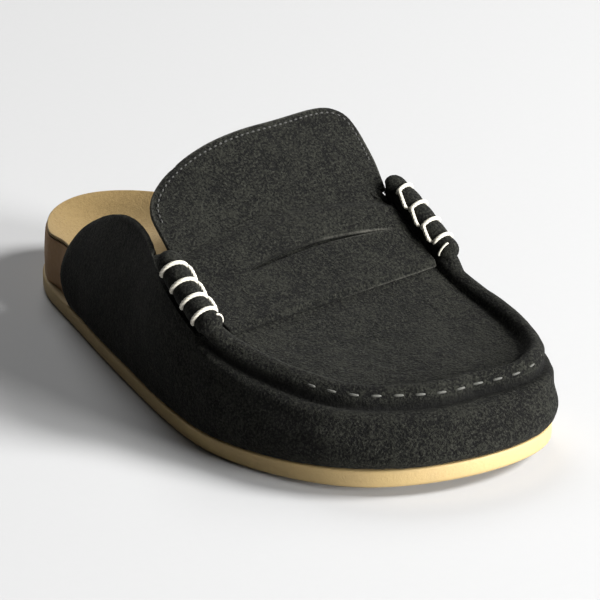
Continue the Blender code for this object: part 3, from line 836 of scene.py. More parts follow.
class Finish:
    """One procedural material, built node by node."""

    def __init__(self, name):
        self.material = bpy.data.materials.new(name)
        self.material.use_nodes = True
        self.tree = self.material.node_tree
        self.shader = self.tree.nodes["Principled BSDF"]
        self.place = self.node("ShaderNodeTexCoord").outputs["Object"]

    def feed(self, socket, value):
        """Links a socket or a varying number, or sets a plain value."""
        if isinstance(value, Value):
            value = value.socket
        if isinstance(value, bpy.types.NodeSocket):
            self.tree.links.new(value, socket)
        else:
            socket.default_value = value

    def node(self, kind, settings=None, inputs=None):
        """A node of one kind: its settings are set first, then the values or links of its sockets."""
        made = self.tree.nodes.new(kind)
        for name, value in (settings or {}).items():
            setattr(made, name, value)
        for name, value in (inputs or {}).items():
            sockets = [s for k, s in enumerate(made.inputs) if name in (k, s.identifier)]
            self.feed(sockets[0], value)
        return made

    def noise(self, size, detail, roughness):
        """Noise with features of about one size, in metres, on the object's own coordinates."""
        inputs = {"Vector": self.place, "Scale": 1.0 / size, "Detail": detail, "Roughness": roughness}
        return Value(self, self.node("ShaderNodeTexNoise", None, inputs).outputs[0])

    def cells(self, size):
        """Distance to the nearest of many scattered points about one size apart."""
        inputs = {"Vector": self.place, "Scale": 1.0 / size}
        return Value(self, self.node("ShaderNodeTexVoronoi", None, inputs).outputs["Distance"])

    def mark(self, name):
        """A per-point mark of the mesh."""
        return Value(self, self.node("ShaderNodeAttribute", {"attribute_name": name}).outputs["Fac"])

    def blend(self, factor, first, second):
        """Colour that goes from the first to the second with the factor."""
        first, second = (c if isinstance(c, bpy.types.NodeSocket) else (*c, 1.0) for c in (first, second))
        inputs = {"Factor_Float": factor, "A_Color": first, "B_Color": second}
        settings = {"data_type": "RGBA", "clamp_factor": True}
        mixed = self.node("ShaderNodeMix", settings, inputs)
        return [socket for socket in mixed.outputs if socket.identifier == "Result_Color"][0]

    def surface(self, colour, roughness, height, depth, strength=1.0, **uniform):
        """Links the colour, the roughness and a bump whose height counts for the given depth in metres."""
        inputs = {"Strength": strength, "Distance": depth, "Height": height}
        bump = self.node("ShaderNodeBump", None, inputs).outputs["Normal"]
        self.feed(self.shader.inputs["Base Color"], colour)
        self.feed(self.shader.inputs["Roughness"], roughness)
        self.feed(self.shader.inputs["Normal"], bump)
        for name, value in uniform.items():
            self.shader.inputs[name.replace("_", " ")].default_value = value
        return self.material


def suede(name):
    """Charcoal suede: patches of brushed nap, tufts and fine fibres, painted shade in the hollows, and paler
    cut edges, which on the strap are a painted highlight on its lit side.
    """
    colour = colours()
    finish = Finish(name)
    patches = finish.noise(0.018, 3.0, 0.6)
    tufts = finish.noise(0.0024, 4.0, 0.65)
    fibres = finish.noise(0.0009, 3.0, 0.75)
    strokes = finish.noise(0.006, 2.0, 0.5)
    brushed = (patches - 0.5) * 1.6 + (strokes - 0.5) * 1.1 + (tufts - 0.5) * 2.4 + (fibres - 0.5) * 7.0
    tone = (0.44 + brushed).limited()
    nap = finish.blend(tone, colour.suede_dark_and_painted_shade, colour.suede)
    flecks = ((fibres - 0.57) * 7.0).limited() * 0.18
    nap = finish.blend(flecks, nap, colour.suede_edge)
    # Painted shade: the groove under the ridge, the inner faces, the bites of the loops and the strap's
    # shaded edge go towards the darkest suede colour.
    hollow = (finish.mark("hollow") * 0.85).limited()
    nap = finish.blend(hollow, nap, colour.suede_dark_and_painted_shade)
    # Paler cut edges, worn along strokes and fibres; on the strap the mark is a painted highlight on its lit
    # side only.
    worn = (finish.mark("edge") * (1.1 * strokes + 0.8 * fibres - 0.55)).limited()
    nap = finish.blend(worn, nap, colour.suede_edge)
    height = tufts * 0.55 + fibres * 0.45
    return finish.surface(
        nap,
        (0.86 + 0.14 * tufts).limited(),
        height,
        0.0016,
        1.0,
        Sheen_Weight=0.02,
        Sheen_Roughness=0.4,
        Sheen_Tint=(0.75, 0.76, 0.66, 1.0),
        Specular_IOR_Level=0.15,
    )


def napped_lining(name):
    """Pale brushed lining: fine nap with flatter, darker places."""
    colour = colours()
    finish = Finish(name)
    worn = finish.noise(0.035, 3.0, 0.55)
    tufts = finish.noise(0.0016, 4.0, 0.7)
    fibres = finish.noise(0.0006, 2.0, 0.6)
    tone = (0.18 + (worn - 0.45) * 1.6 + (tufts - 0.5) * 2.2 + (fibres - 0.5) * 1.8).limited()
    base = finish.blend(tone, colour.lining, colour.lining_worn)
    height = tufts * 0.6 + fibres * 0.4
    return finish.surface(
        base,
        (0.84 + 0.14 * tufts).limited(),
        height,
        0.0006,
        0.7,
        Sheen_Weight=0.15,
        Sheen_Roughness=0.5,
        Specular_IOR_Level=0.2,
    )


def painted_cork(name):
    """Brown painted cork: pale grains under the paint and small pits."""
    colour = colours()
    finish = Finish(name)
    grains = finish.cells(0.0024)
    clouds = finish.noise(0.012, 3.0, 0.6)
    grit = finish.noise(0.0008, 3.0, 0.65)
    tone = ((0.62 - grains) * 0.7 * clouds + (grit - 0.5) * 0.5).limited()
    base = finish.blend(tone, colour.cork, colour.cork_fleck)
    height = grains * 0.5 + grit * 0.5
    return finish.surface(base, (0.62 + 0.25 * grit).limited(), height, 0.0005, 0.6, Specular_IOR_Level=0.3)


def sole_rubber(name):
    """Tan rubber: a fine moulded grain with duller scuffs."""
    colour = colours()
    finish = Finish(name)
    scuffs = finish.noise(0.014, 4.0, 0.65)
    grain = finish.noise(0.0009, 3.0, 0.6)
    tone = ((scuffs - 0.42) * 2.2 + (grain - 0.5) * 0.6).limited()
    base = finish.blend(tone, colour.rubber, colour.rubber_dull)
    rough = (0.46 + 0.25 * scuffs + 0.10 * grain).limited()
    return finish.surface(base, rough, grain * 0.7 + scuffs * 0.3, 0.0004, 0.5, Specular_IOR_Level=0.4)


def twisted_cord(name, light, shade):
    """Waxed cord: darker with its mark, painted shade in the grooves between the strands, and with soil and a
    fine fuzz.
    """
    finish = Finish(name)
    fuzz = finish.noise(0.0006, 3.0, 0.7)
    soil = finish.noise(0.006, 2.0, 0.5)
    # The mark is painted shade in the cord's grooves; soil and fuzz darken it at random.
    groove = (finish.mark("hollow") * 0.8 + (fuzz - 0.5) * 0.7 + (soil - 0.5) * 0.5).limited()
    base = finish.blend(groove, light, shade)
    return finish.surface(base, (0.55 + 0.3 * fuzz).limited(), fuzz, 0.0003, 0.6, Sheen_Weight=0.1)


def matt_floor(name):
    """Pale seamless floor with a barely visible grain."""
    finish = Finish(name)
    grain = finish.noise(0.004, 2.0, 0.5)
    colour = colours().floor
    dull = tuple(value * 0.985 for value in colour)
    base = finish.blend(grain, colour, dull)
    return finish.surface(base, (0.88 + 0.1 * grain).limited(), grain, 0.0001, 0.2, Specular_IOR_Level=0.1)


# Sole, footbed and lining


def ring_turns():
    """Turns of the points of a ring, all the way round."""
    return np.arange(SOLE_POINTS) * FULL_TURN / SOLE_POINTS


def face_shares(count):
    """Shares of the rings across a face, from the innermost one to the edge."""
    return np.linspace(CORE_SHARE, 1.0, count)


def quarter(count):
    """Angles of a quarter round."""
    return np.linspace(0.0, math.pi / 2.0, count)


def middle_of(turn):
    """Point on the foot's middle line that belongs to a place on the outline."""
    half = turn_of(np.clip(share_of(turn), *MIDDLE_LINE))
    lateral_x, y = outline(half)
    medial_x = outline(mirrored(half))[0]
    return (lateral_x + medial_x) / 2.0, y


def ring(inset, share, height):
    """Ring at a share of the way from the middle line to the inset edge, its height given by a function."""
    turn = ring_turns()
    edge_x, edge_y = plan(turn, inset)
    mid_x, mid_y = middle_of(turn)
    x = between(mid_x, edge_x, share)
    y = between(mid_y, edge_y, share)
    return np.stack([x, y, height(x, y, turn, share)], axis=1)


def bed_inset(turn, at_rim):
    """Inset of the footbed's side: nearly flush at the bare heel, behind the upper's wall elsewhere."""
    covered = UPPER_INSET + sizes().upper_wall + 2.0 * CLEARANCE + at_rim * RIM_LEAN
    bare = HEEL_LEDGE + at_rim * RIM_LEAN * 0.5
    return between(bare, covered, smooth_step(*WING_ZONE, share_of(turn)))


def bed_height(x, y, turn, share):
    """Top of the footbed: from the middle line up to the rim with a power of the way out."""
    middle, lateral, medial = (profile(BED_LINE, name, along(y)) for name in ("middle", "lateral", "medial"))
    rim = between(lateral, medial, 0.5 - 0.5 * np.sin(turn))
    return sizes().heel_rim * between(middle, rim, share**BED_POWER) + lift(y)


def above_ground(rise):
    """Height function of a ring: a rise above the sole's underside."""

    def height(x, y, turn, share):
        return lift(y) + rise

    return height


def above_bed(rise):
    """Height function of a ring: a rise above the top of the footbed."""

    def height(x, y, turn, share):
        return bed_height(x, y, turn, share) + rise

    return height


def up_bed_side(way):
    """Height function of a ring: a share of the way from the footbed's underside to below its rounded rim."""

    def height(x, y, turn, share):
        return between(seat_height(y), bed_height(x, y, turn, share) - RIM_ROUND, way)

    return height


def build_outsole():
    """Rubber plate: rings from the middle of the underside, round both edges, to the middle of the top."""
    thickness = sizes().outsole
    shares = face_shares(FACE_RINGS)
    rings = [ring(SOLE_EDGE_RADIUS, share, above_ground(0.0)) for share in shares]
    for angle in quarter(6)[1:]:
        inset = SOLE_EDGE_RADIUS * (1.0 - math.sin(angle))
        rings.append(ring(inset, 1.0, above_ground(SOLE_EDGE_RADIUS * (1.0 - math.cos(angle)))))
    top_radius = SOLE_EDGE_RADIUS / 2.0
    for angle in quarter(5):
        height = thickness - top_radius * (1.0 - math.sin(angle))
        rings.append(ring(top_radius * (1.0 - math.cos(angle)), 1.0, above_ground(height)))
    rings += [ring(top_radius, share, above_ground(thickness)) for share in shares[-2::-1]]
    points, faces = ringed(rings)
    points[:, :2] *= 1.0 + unevenness("outsole", points)[:, None]
    return piece("rubber_outsole", points, faces, sole_rubber("tan_rubber"), "outsole")


def build_footbed():
    """Cork body: an underside, a leaning side that swells a little, a rounded rim and the cupped top."""
    turn = ring_turns()
    rings = [ring(bed_inset(turn, 0.0), share, up_bed_side(0.0)) for share in face_shares(FACE_RINGS)]
    for way in np.linspace(0.0, 1.0, SIDE_RINGS)[1:]:
        swell = BED_SWELL * math.sin(math.pi * way)
        rings.append(ring(bed_inset(turn, way * BED_LEANT) - swell, 1.0, up_bed_side(way)))
    for angle in quarter(5)[1:]:
        leant = between(BED_LEANT, 1.0, math.sin(angle))
        inset = bed_inset(turn, leant) + RIM_ROUND / 2.0 * (1.0 - math.cos(angle))
        rings.append(ring(inset, 1.0, above_bed(-RIM_ROUND * (1.0 - math.sin(angle)))))
    top = bed_inset(turn, 1.0) + RIM_ROUND / 2.0
    rings += [ring(top, share, bed_height) for share in face_shares(BED_RINGS)[-2::-1]]
    points, faces = ringed(rings)
    return piece("cork_footbed", points, faces, painted_cork("painted_cork"), "footbed")


def build_lining():
    """Lining sheet: it follows the footbed and ends in a rounded edge just inside the rim."""
    inset = bed_inset(ring_turns(), 1.0) + RIM_ROUND / 2.0
    gap = CLEARANCE + LINING_SEAT
    thickness = sizes().lining
    shares = 1.0 - (1.0 - face_shares(LINING_RINGS)) ** LINING_SPACING
    rings = [ring(inset + LINING_UNDERCUT, share, above_bed(gap)) for share in shares]
    for angle in np.linspace(-math.pi / 2.0, math.pi / 2.0, 8)[1:-1]:
        rise = gap + thickness * (0.5 + 0.5 * math.sin(angle))
        rings.append(ring(inset + LINING_ROUND * (1.0 - math.cos(angle)), 1.0, above_bed(rise)))
    rings += [ring(inset + LINING_ROUND, share, above_bed(gap + thickness)) for share in shares[::-1]]
    points, faces = ringed(rings)
    points[:, 2] += unevenness("lining", points)
    return piece("napped_lining", points, faces, napped_lining("napped_lining"), "insole")


# Upper, tongue and strap


def upper_grid():
    """Outer surface of the upper: wall rows from sole to ridge, rows across the ridge, rows of the apron.

    The apron's rows shrink the ridge's inner edge on to the throat's arc. The second value is how deep each
    point lies in the groove under the ridge, and also its painted shade, the third how much the wall rolls
    over just below the groove.
    """
    half_q = np.linspace(0.0, 1.0, UPPER_COLUMNS) ** COLUMN_SPACING
    q = np.concatenate([half_q, half_q[-2::-1]])
    medial = np.arange(len(q)) >= UPPER_COLUMNS
    plain = np.zeros(len(q))
    rows, groove_and_painted_shade, rolled = [], [], []
    for rise in 1.0 - (1.0 - np.linspace(0.0, 1.0, WALL_ROWS)) ** WALL_SPACING:
        turn, height = wing_grid(q, rise)
        height = height + np.where(medial, instep_lift(share_of(turn)) * rise / 2.0, 0.0)
        turn = np.where(medial, mirrored(turn), turn)
        x, y = plan(turn, wall_inset(turn, height))
        rows.append(np.stack([x, y, height], axis=1))
        below = wall_top(turn)[1] - height
        groove_and_painted_shade.append(ridge_raised(turn) * bell(below, GROOVE_WIDTH["wall"]))
        rolled.append(ridge_raised(turn) * bell(below - ROLL_OVER_DROP, ROLL_OVER_WIDTH * ROLL_OVER_DROP))
    for share in np.linspace(0.0, 1.0, RIDGE_ROWS)[1:]:
        turn = between(turn_of(between(WING_EDGE[-1].at, THROAT_CORNER, share)), math.pi, q)
        turn = np.where(medial, mirrored(turn), turn)
        rows.append(ridge_line(turn, share))
        groove_and_painted_shade.append(ridge_raised(turn) * bell(share * sizes().ridge_width, GROOVE_WIDTH["ridge"]))
        rolled.append(plain)
    edge_x, edge_y = rows[-1][:, 0], rows[-1][:, 1]
    across = np.linspace(0.0, 1.0, len(q))
    across = across + THROAT_SPREAD * np.sin(FULL_TURN * across)
    throat_x = between(edge_x[0] + THROAT_SETBACK, edge_x[-1] - THROAT_SETBACK, across)
    throat_y = throat(throat_x)
    for share in np.linspace(0.0, 1.0, APRON_ROWS)[1:]:
        x = between(edge_x, throat_x, share)
        y = between(edge_y, throat_y, share)
        rows.append(np.stack([x, y, apron_height(x, y)], axis=1))
        groove_and_painted_shade.append(plain)
        rolled.append(plain)
    return np.stack(rows), np.stack(groove_and_painted_shade), np.stack(rolled)


def build_upper():
    """Suede upper: the grid sunk at the groove, pulled by the creases and softly uneven, made a closed sheet
    of the wall's thickness, with painted shade in the groove.
    """
    outer, groove_and_painted_shade, rolled = upper_grid()
    normal = grid_normal(outer)
    loose = unevenness("upper", outer) + unevenness("upper_nap", outer)
    outer = creased(outer, normal) + normal * (loose - groove_and_painted_shade * sizes().groove + rolled * ROLL_OVER)[..., None]
    outer[0, :, 2] += unevenness("upper_hem", outer[0])
    # The groove is painted darker as shade, as far as it is deep.
    points, faces, marks = shell(outer, sizes().upper_wall, hollow=groove_and_painted_shade)
    return piece("suede_upper", points, faces, suede("charcoal_suede"), "upper", marks)


def tongue_point(u, v):
    """Tongue surface: u across from minus one to one, v from the throat to the rounded end.

    Behind its straight part the square of u and v is pressed into a disc, and the disc is then filled out
    towards the medial corner with a power above two. The height is the apron's line less a crown.
    """
    bend = np.clip((v - TONGUE_STRAIGHT) / (1.0 - TONGUE_STRAIGHT), 0.0, 1.0)
    across = u * np.sqrt(1.0 - bend * bend / 2.0)
    rear = bend * np.sqrt(1.0 - u * u / 2.0)
    power = 2.0 + TONGUE_CORNER * smooth_step(0.0, 1.0, u)
    reach = np.maximum(np.hypot(across, rear), 1e-9)
    fuller = (np.abs(across / reach) ** power + np.abs(rear / reach) ** power) ** (-1.0 / power)
    across = across * fuller
    back = np.minimum(v, TONGUE_STRAIGHT) + (1.0 - TONGUE_STRAIGHT) * rear * fuller
    left, right = apron_sides(place_at(THROAT_END), TONGUE_SIDE_GAP)
    half_width = (right - left) / 2.0 + TONGUE_FLARE * smooth_step(*FLARE_ZONE, v)
    x = (left + right) / 2.0 + TONGUE_SHIFT + across * half_width
    y = throat(np.clip(x, left, right)) + TONGUE_SEAM + back * sizes().tongue_length
    x = x + TONGUE_SKEW * back
    z = apron_height(x, y) - TONGUE_CROWN * smooth_step(0.0, 1.0, back) * across**2
    return np.stack(np.broadcast_arrays(x, y, z), axis=-1)


def build_tongue():
    """Suede tongue: its surface softly uneven, as a closed sheet with rounded edges."""
    u = np.linspace(-1.0, 1.0, TONGUE_COLUMNS)[None, :]
    v = np.linspace(0.0, 1.0, TONGUE_ROWS)[:, None]
    outer = tongue_point(u, v)
    thin = smooth_step(*THIN_ZONE, np.maximum(np.abs(u), v))
    shift = unevenness("tongue", outer) - TONGUE_EDGE_DROP * thin
    outer = outer + grid_normal(outer) * shift[..., None]
    points, faces, marks = shell(outer, sizes().tongue)
    marks["edge"] *= smooth_step(*TONGUE_WORN, points[:, 1] - throat(points[:, 0]))
    return piece("suede_tongue", points, faces, suede("tongue_suede"), "tongue", marks)


def strap_grid():
    """Outer surface of the strap, the cells that the slit leaves and how near each point is to its lips.

    The slit opens as the root of the share along it, times a power of what is left, a little less to its end.
    """
    size = sizes()
    u = np.linspace(0.0, 1.0, STRAP_COLUMNS)[None, :]
    arch = 1.0 - (2.0 * u - 1.0) ** 2
    rear = STRAP_REAR - STRAP_REAR_BOW * arch
    front = between(STRAP_FRONT["lateral"], STRAP_FRONT["medial"], u)
    slit = between(SLIT_MIDDLE["lateral"], SLIT_MIDDLE["medial"], u) + SLIT_BOW * (1.0 - arch)
    lens = np.clip((u - SLIT_ENDS[0]) / (SLIT_ENDS[1] - SLIT_ENDS[0]), 0.0, 1.0)
    opening = OPENING.scale * np.sqrt(lens) * (1.0 - lens) ** OPENING.power * (1.0 - OPENING.lessening * lens)
    half_slit = size.slit / 2.0 / size.shoe_length * (OPENING.least + OPENING.gain * opening)
    ahead, behind = (np.linspace(0.0, 1.0, STRAP_ROWS[part])[:, None] for part in ("front", "rear"))
    share = np.concatenate([between(front, slit + half_slit, ahead), between(slit - half_slit, rear, behind)])
    y = place_at(share)
    left, right = apron_sides(y, STRAP_SIDE_GAP)
    x = between(left, right, u)
    z = apron_height(x, y) + STRAP_SEAT + size.strap
    keep = np.ones((share.shape[0] - 1, u.shape[1] - 1), bool)
    middle = (u[0, 1:] + u[0, :-1]) / 2.0
    keep[len(ahead) - 1, (middle > SLIT_ENDS[0]) & (middle < SLIT_ENDS[1])] = False
    lip = bell(share - slit, LIP.widths * half_slit + LIP.beyond) * (lens > 0.0) * (lens < 1.0)
    return np.stack([x, y, z], axis=2), keep, lip


def build_strap():
    """Suede saddle strap: a closed sheet, softly uneven, its edges turned down and its slit's lips curled,
    with painted light on its cut edge.
    """
    outer, keep, lip = strap_grid()
    row = np.linspace(0.0, 1.0, outer.shape[0])[:, None]
    front = FRONT_EDGE.drop * (1.0 - smooth_step(*FRONT_EDGE.rows, row))
    rear = REAR_EDGE.drop * smooth_step(*REAR_EDGE.rows, row)
    shift = unevenness("strap", outer) - LIP_CURL * lip - front - rear
    outer = outer + grid_normal(outer) * shift[..., None]
    thickness = sizes().strap - STRAP_THINNED - front * FRONT_EDGE.thinned - rear * REAR_EDGE.thinned
    points, faces, marks = shell(outer, thickness, keep)
    marks["edge"] *= smooth_step(*STRAP_WORN, along(points[:, 1]))
    # Painted light on the cut edge: a painted highlight on the lit, medial side, and painted shade instead on
    # the other side.
    lit = smooth_step(*LIT_SIDE, points[:, 0])
    marks["hollow"] = np.maximum(marks["hollow"], SHADED * marks["edge"] * (1.0 - lit))
    marks["edge"] *= lit
    return piece("suede_strap", points, faces, suede("strap_suede"), "strap", marks)


# Rolls, cords and stitches


def roll_frame(side, share, radius):
    """Axis of a roll of that radius on the flattened ridge, its outward direction and its seat's normal."""
    turn = side_turn(share, side)
    low = ridge_line(turn, 0.0)
    high = ridge_line(turn, 1.0)
    seat = (low + high) / 2.0
    normal = unit(upward(np.cross(high - low, np.gradient(seat, axis=0))))
    centre = seat + normal * (radius + ROLL_SEAT)[:, None]
    ahead = unit(np.gradient(centre, axis=0))
    outward = unit(np.cross(ahead, [0.0, 0.0, 1.0]))
    outward = outward if side == "lateral" else -outward
    return centre, outward, normal


def loop_bite(way, width):
    """How far each place along a roll lies in the bite of a loop, one in its middle."""
    return sum(bell(way - loop, width) for loop in LOOPS)


def round_end(depth):
    """Radius towards a round end: the root of one less the square of the depth into it, limited to one."""
    return np.sqrt(np.clip(1.0 - depth.clip(0.0, 1.0) ** 2, 0.0, 1.0))


def roll_radius(way):
    """Radius along a roll: a domed rear end, full width, a soft shoulder at the front and a thinner tail."""
    dome = round_end((DOME - way) / DOME)
    tip = round_end((way - TAIL_END) / TAIL_TIP)
    shoulder = 1.0 - SHOULDER_DEPTH * smooth_step(*SHOULDER_ZONE, way)
    bitten = 1.0 - BITE_DEPTH * loop_bite(way, BITE_WIDTH)
    return sizes().roll / 2.0 * np.maximum(dome * shoulder * tip * bitten, THINNEST)


def roll_share(side, way):
    """Share of the length of a way along a roll."""
    return between(*ROLL_ZONE[side], way)


def build_roll(side):
    """Suede roll: a tube whose radius is bitten in by the cord's loops, thinning into the toe ridge, painted
    darker in each bite as shade.
    """
    full = sizes().roll
    dome = DOME * (1.0 - np.cos(quarter(10)))
    tip = TAIL_END + TAIL_CUT * np.sin(quarter(10))
    way = np.concatenate([dome, np.linspace(DOME, TAIL_END, ROLL_ROWS)[1:], tip[1:]])
    radius = roll_radius(way)
    share = roll_share(side, way)
    centre, _, normal = roll_frame(side, share, np.maximum(radius, full * SEAT_LEAST))
    crest = ridge_line(side_turn(share, side), TAIL_PLACE) - normal * (full * TAIL_DEPTH + TAIL_SINK)
    centre = between(centre, crest, smooth_step(*TAIL_ZONE, way)[:, None])
    points, faces, _ = tubes(centre[None], normal[None], radius[None], ROLL_SIDES)
    # Painted shade: the suede darker in the bite of each loop, under the cord.
    shade = np.repeat(loop_bite(way, BITE_SHADE_WIDTH) * BITE_SHADE, ROLL_SIDES)
    marks = {"hollow": shade, "edge": np.zeros(len(points))}
    name = "roll_" + side
    return piece("suede_" + name, points, faces, suede(name + "_suede"), name, marks)


def cord_point(side, way, angle, clear):
    """Point on a roll's skin at a way along it and an angle from its seat's normal towards the outside."""
    fine = np.linspace(*SKIN_SPAN, SKIN_PLACES)
    frames = roll_frame(side, roll_share(side, fine), np.full(SKIN_PLACES, sizes().roll / 2.0))
    centre, outward, normal = (read_at(way, fine, vectors) for vectors in frames)
    outward, normal = unit(outward), unit(normal)
    side_way = unit(outward - normal * (outward * normal).sum(axis=-1, keepdims=True))
    spoke = normal * np.cos(angle)[..., None] + side_way * np.sin(angle)[..., None]
    return centre + spoke * (roll_radius(way) + clear)[..., None], spoke


def build_cords(side):
    """Whip stitch: a loop over the roll at each place, slanting a little, and a link along its inner side."""
    size = sizes()
    run = np.linspace(0.0, 1.0, CORD_ROWS)
    from_middle = np.abs(2.0 * run - 1.0)
    sunk = size.cord / 2.0 * (CORD_PROUD - CORD_DIVE * from_middle**CORD_DIVE_POWER)
    bends = [(loop + LOOP_SLANT * (run - 0.5), LOOP_ARC, sunk) for loop in LOOPS]
    for first, second in zip(LOOPS[:-1], LOOPS[1:]):
        way = between(first + LINK_GAPS[0], second - LINK_GAPS[1], run)
        bends.append((way, LINK_ARC, sunk + LINK_PROUD))
    bends.append((LAST_PLACE + LAST_SLANT * (run - 0.5), LAST_ARC, sunk * LAST_SUNK))
    found = [cord_point(side, way, np.radians(between(*arc, run)), clear) for way, arc, clear in bends]
    paths, spokes = (np.stack(part) for part in zip(*found))
    taper = 1.0 - CORD_TAPER * from_middle**CORD_TAPER_POWER
    radius = np.tile(size.cord / 2.0 * taper, (len(paths), 1))
    radius[-1] *= LAST_THIN
    points, faces, marks = tubes(paths, spokes, radius, CORD_SIDES, strands=STRANDS, twist=TWIST)
    colour = colours()
    material = twisted_cord("cord_" + side, colour.cord, colour.cord_shade)
    return piece("whip_cord_" + side, points, faces, material, marks=marks)


def stitches(line, normal, pitch, stitch, thread):
    """Short arched stitches along a dense line: each starts and ends sunk in the suede and arches out.

    Height and radius fall with the cube of the distance from the stitch's middle.
    """
    steps = np.linalg.norm(np.diff(line, axis=0), axis=1)
    run = np.concatenate([[0.0], np.cumsum(steps)])
    begin = np.arange(pitch / 2.0, run[-1] - stitch, pitch)
    share = np.linspace(0.0, 1.0, STITCH_ROWS)
    at = begin[:, None] + stitch * share
    up = unit(read_at(at, run, normal))
    ends = np.abs(2.0 * share - 1.0) ** STITCH_POWER
    arch = thread * (STITCH_PROUD - STITCH_DIVE * ends)
    paths = read_at(at, run, line) + up * arch[None, :, None]
    radius = thread / 2.0 * (1.0 - STITCH_TAPER * ends)
    return tubes(paths, up, np.broadcast_to(radius, at.shape), STITCH_SIDES)


def build_ridge_stitches():
    """Dash stitches round the toe, high on the ridge's outer face, sinking in at both ends of the row."""
    size = sizes()
    end = mirrored(turn_of(RIDGE_START["medial"][0] + DASH_FADE))
    turn = np.linspace(turn_of(DASH_START), end, DASH_PLACES)
    shown = smooth_step(DASH_START, DASH_START + DASH_FADE, share_of(turn))
    shown = shown * smooth_step(*DASH_END, math.pi - turn)
    share = between(DASH_SHARE["side"], DASH_SHARE["tip"], bell(turn - math.pi, DASH_TIP_WIDTH))
    line = ridge_line(turn, share)
    across = ridge_line(turn, share + RIDGE_STEP) - ridge_line(turn, share - RIDGE_STEP)
    normal = upward(unit(np.cross(np.gradient(line, axis=0), across)))
    line = line - normal * (DASH_SINK * (1.0 - shown))[:, None]
    thread = size.thread * DASH_THREAD
    points, faces, marks = stitches(line, normal, size.dash_pitch, size.dash_length, thread)
    away = points[::STITCH_SIDES, None, :2] - line[None, ::DASH_STEP, :2]
    nearest = np.argmin(np.linalg.norm(away, axis=2), axis=1)
    # Not painted light: where the row sinks in, the dashes take on the suede's dark tone.
    marks["hollow"] = np.repeat(DASH_SHADE * (1.0 - shown[::DASH_STEP][nearest]), STITCH_SIDES)
    colour = colours()
    material = twisted_cord("ridge_thread", colour.thread, colour.suede_dark_and_painted_shade)
    return piece("ridge_stitches", points, faces, material, marks=marks)


def build_tongue_stitches():
    """Tone-on-tone stitches along the tongue's edge, a small way in from it."""
    size = sizes()
    rise = np.linspace(TONGUE_STITCH_START, 1.0, TONGUE_SIDE_PLACES)
    sweep = np.linspace(-1.0, 1.0, TONGUE_END_PLACES)[1:-1]
    u = np.concatenate([np.full(len(rise), -1.0), sweep, np.full(len(rise), 1.0)])
    v = np.concatenate([rise, np.ones(len(sweep)), rise[::-1]])
    edge = tongue_point(u, v)
    inside = tongue_point(u * INSIDE_U, v * INSIDE_V)
    tangent = unit(np.gradient(edge, axis=0))
    normal = upward(unit(np.cross(inside - edge, tangent)))
    inward = np.cross(tangent, normal)
    inward = inward * np.sign((inward * (inside - edge)).sum(axis=1, keepdims=True))
    line = edge + inward * size.stitch_inset
    line = line + normal * (unevenness("tongue", line) - TONGUE_STITCH_SINK)[:, None]
    stitch = size.stitch_pitch * TONGUE_STITCH_SHARE
    points, faces, marks = stitches(line, normal, size.stitch_pitch, stitch, size.thread)
    colour = colours()
    material = twisted_cord("tongue_thread", colour.thread_dark, colour.suede_dark_and_painted_shade)
    return piece("tongue_stitches", points, faces, material, marks=marks)


# Stage

CAMERA_PLACE = (-0.5022, -0.7349, 0.3920)
CAMERA_AIM = (0.0161, -0.0005, 0.0198)
CAMERA_LENS = 155.4
CAMERA_SENSOR = 36.0
FLOOR_HALF = 12.0
SKY = 0.03
LIGHT_AIM = (0.0, 0.0, 0.02)
LIGHTS = [
    Row(name="key", place=(2.14, -1.80, 2.15), width=1.25, power=215.0),
    Row(name="back_fill", place=(0.9, 2.4, 2.4), width=1.8, power=60.0),
    Row(name="front_low", place=(0.9, -2.3, 0.5), width=1.0, power=150.0),
]


def aimed(name, data, place, aim):
    """A light or the camera at its place, turned to its aim."""
    made = bpy.data.objects.new(name, data)
    made.location = place
    made.rotation_euler = (Vector(aim) - Vector(place)).to_track_quat("-Z", "Y").to_euler()
    bpy.context.scene.collection.objects.link(made)
    return made


def build_stage():
    """Pale floor, the key light from the front right, a back fill, a low front light and the camera."""
    scene = bpy.context.scene
    corners = [(x * FLOOR_HALF, y * FLOOR_HALF, 0.0) for x, y in ((-1, -1), (1, -1), (1, 1), (-1, 1))]
    mesh = bpy.data.meshes.new("floor")
    mesh.from_pydata(corners, [], [(0, 1, 2, 3)])
    mesh.materials.append(matt_floor("pale_floor"))
    floor = bpy.data.objects.new("floor", mesh)
    scene.collection.objects.link(floor)
    for light in LIGHTS:
        data = bpy.data.lights.new(light.name, "AREA")
        data.shape = "DISK"
        data.size = light.width
        data.energy = light.power
        aimed(light.name, data, light.place, LIGHT_AIM)
    world = bpy.data.worlds.new("studio")
    world.use_nodes = True
    background = world.node_tree.nodes["Background"]
    background.inputs["Color"].default_value = (1.0, 1.0, 1.0, 1.0)
    background.inputs["Strength"].default_value = SKY
    scene.world = world
    data = bpy.data.cameras.new("camera")
    data.lens = CAMERA_LENS
    data.sensor_width = CAMERA_SENSOR
    scene.camera = aimed("camera", data, CAMERA_PLACE, CAMERA_AIM)
    scene.view_settings.view_transform = "Standard"


# Operators and panel


class LOAFER_OT_sole(bpy.types.Operator):
    """Make the rubber outsole, the cork footbed and the lining"""

    bl_idname = "loafer.sole"
    bl_label = "Sole, footbed and lining"

    def execute(self, context):
        build_outsole()
        build_footbed()
        build_lining()
        return {"FINISHED"}


class LOAFER_OT_upper(bpy.types.Operator):
    """Make the suede upper with its toe ridge"""

    bl_idname = "loafer.upper"
    bl_label = "Upper"

    def execute(self, context):
        build_upper()
        return {"FINISHED"}


class LOAFER_OT_tongue(bpy.types.Operator):
    """Make the suede tongue"""

    bl_idname = "loafer.tongue"
    bl_label = "Tongue"

    def execute(self, context):
        build_tongue()
        return {"FINISHED"}


class LOAFER_OT_strap(bpy.types.Operator):
    """Make the slotted saddle strap"""

    bl_idname = "loafer.strap"
    bl_label = "Saddle strap"

    def execute(self, context):
        build_strap()
        return {"FINISHED"}


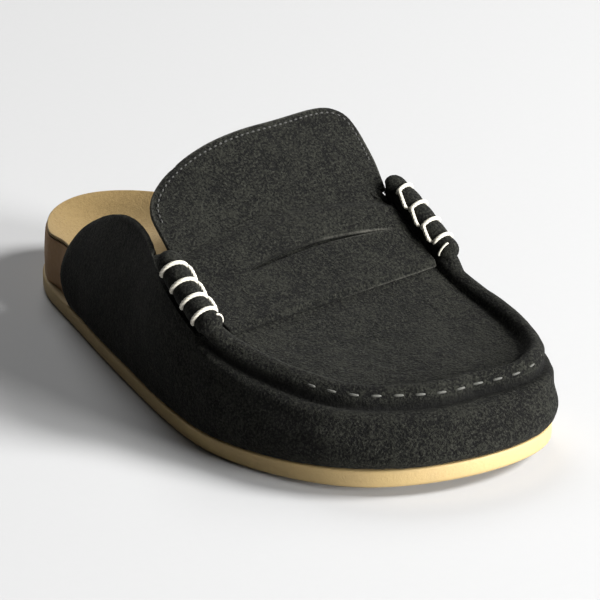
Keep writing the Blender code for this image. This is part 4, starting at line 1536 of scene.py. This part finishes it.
class LOAFER_OT_rolls(bpy.types.Operator):
    """Make the rolled strap ends and their whip-stitch cords"""

    bl_idname = "loafer.rolls"
    bl_label = "Rolls and cords"

    def execute(self, context):
        for side in ROLL_ZONE:
            build_roll(side)
            build_cords(side)
        return {"FINISHED"}


class LOAFER_OT_stitches(bpy.types.Operator):
    """Make the stitches on the toe ridge and along the tongue"""

    bl_idname = "loafer.stitches"
    bl_label = "Stitches"

    def execute(self, context):
        build_ridge_stitches()
        build_tongue_stitches()
        return {"FINISHED"}


class LOAFER_OT_stage(bpy.types.Operator):
    """Make the floor, the lights and the camera"""

    bl_idname = "loafer.stage"
    bl_label = "Stage"

    def execute(self, context):
        build_stage()
        return {"FINISHED"}


STEPS = (
    LOAFER_OT_sole,
    LOAFER_OT_upper,
    LOAFER_OT_tongue,
    LOAFER_OT_strap,
    LOAFER_OT_rolls,
    LOAFER_OT_stitches,
    LOAFER_OT_stage,
)


class LOAFER_PT_steps(bpy.types.Panel):
    """Lists the steps and the sizes and colours."""

    bl_label = "Loafer mule"
    bl_space_type = "VIEW_3D"
    bl_region_type = "UI"
    bl_category = "Loafer mule"

    def draw(self, context):
        layout = self.layout
        for step in STEPS:
            layout.operator(step.bl_idname)
        for group in (context.scene.loafer_sizes, context.scene.loafer_colours):
            box = layout.box()
            for name in group.__annotations__:
                box.prop(group, name)


CLASSES = (LoaferSizes, LoaferColours, *STEPS, LOAFER_PT_steps)


def register():
    for made in CLASSES:
        bpy.utils.register_class(made)
    bpy.types.Scene.loafer_sizes = PointerProperty(type=LoaferSizes)
    bpy.types.Scene.loafer_colours = PointerProperty(type=LoaferColours)


def unregister():
    del bpy.types.Scene.loafer_sizes
    del bpy.types.Scene.loafer_colours
    for made in reversed(CLASSES):
        bpy.utils.unregister_class(made)


def main():
    register()
    bpy.ops.loafer.sole()
    bpy.ops.loafer.upper()
    bpy.ops.loafer.tongue()
    bpy.ops.loafer.strap()
    bpy.ops.loafer.rolls()
    bpy.ops.loafer.stitches()
    bpy.ops.loafer.stage()


if __name__ == "__main__":
    main()
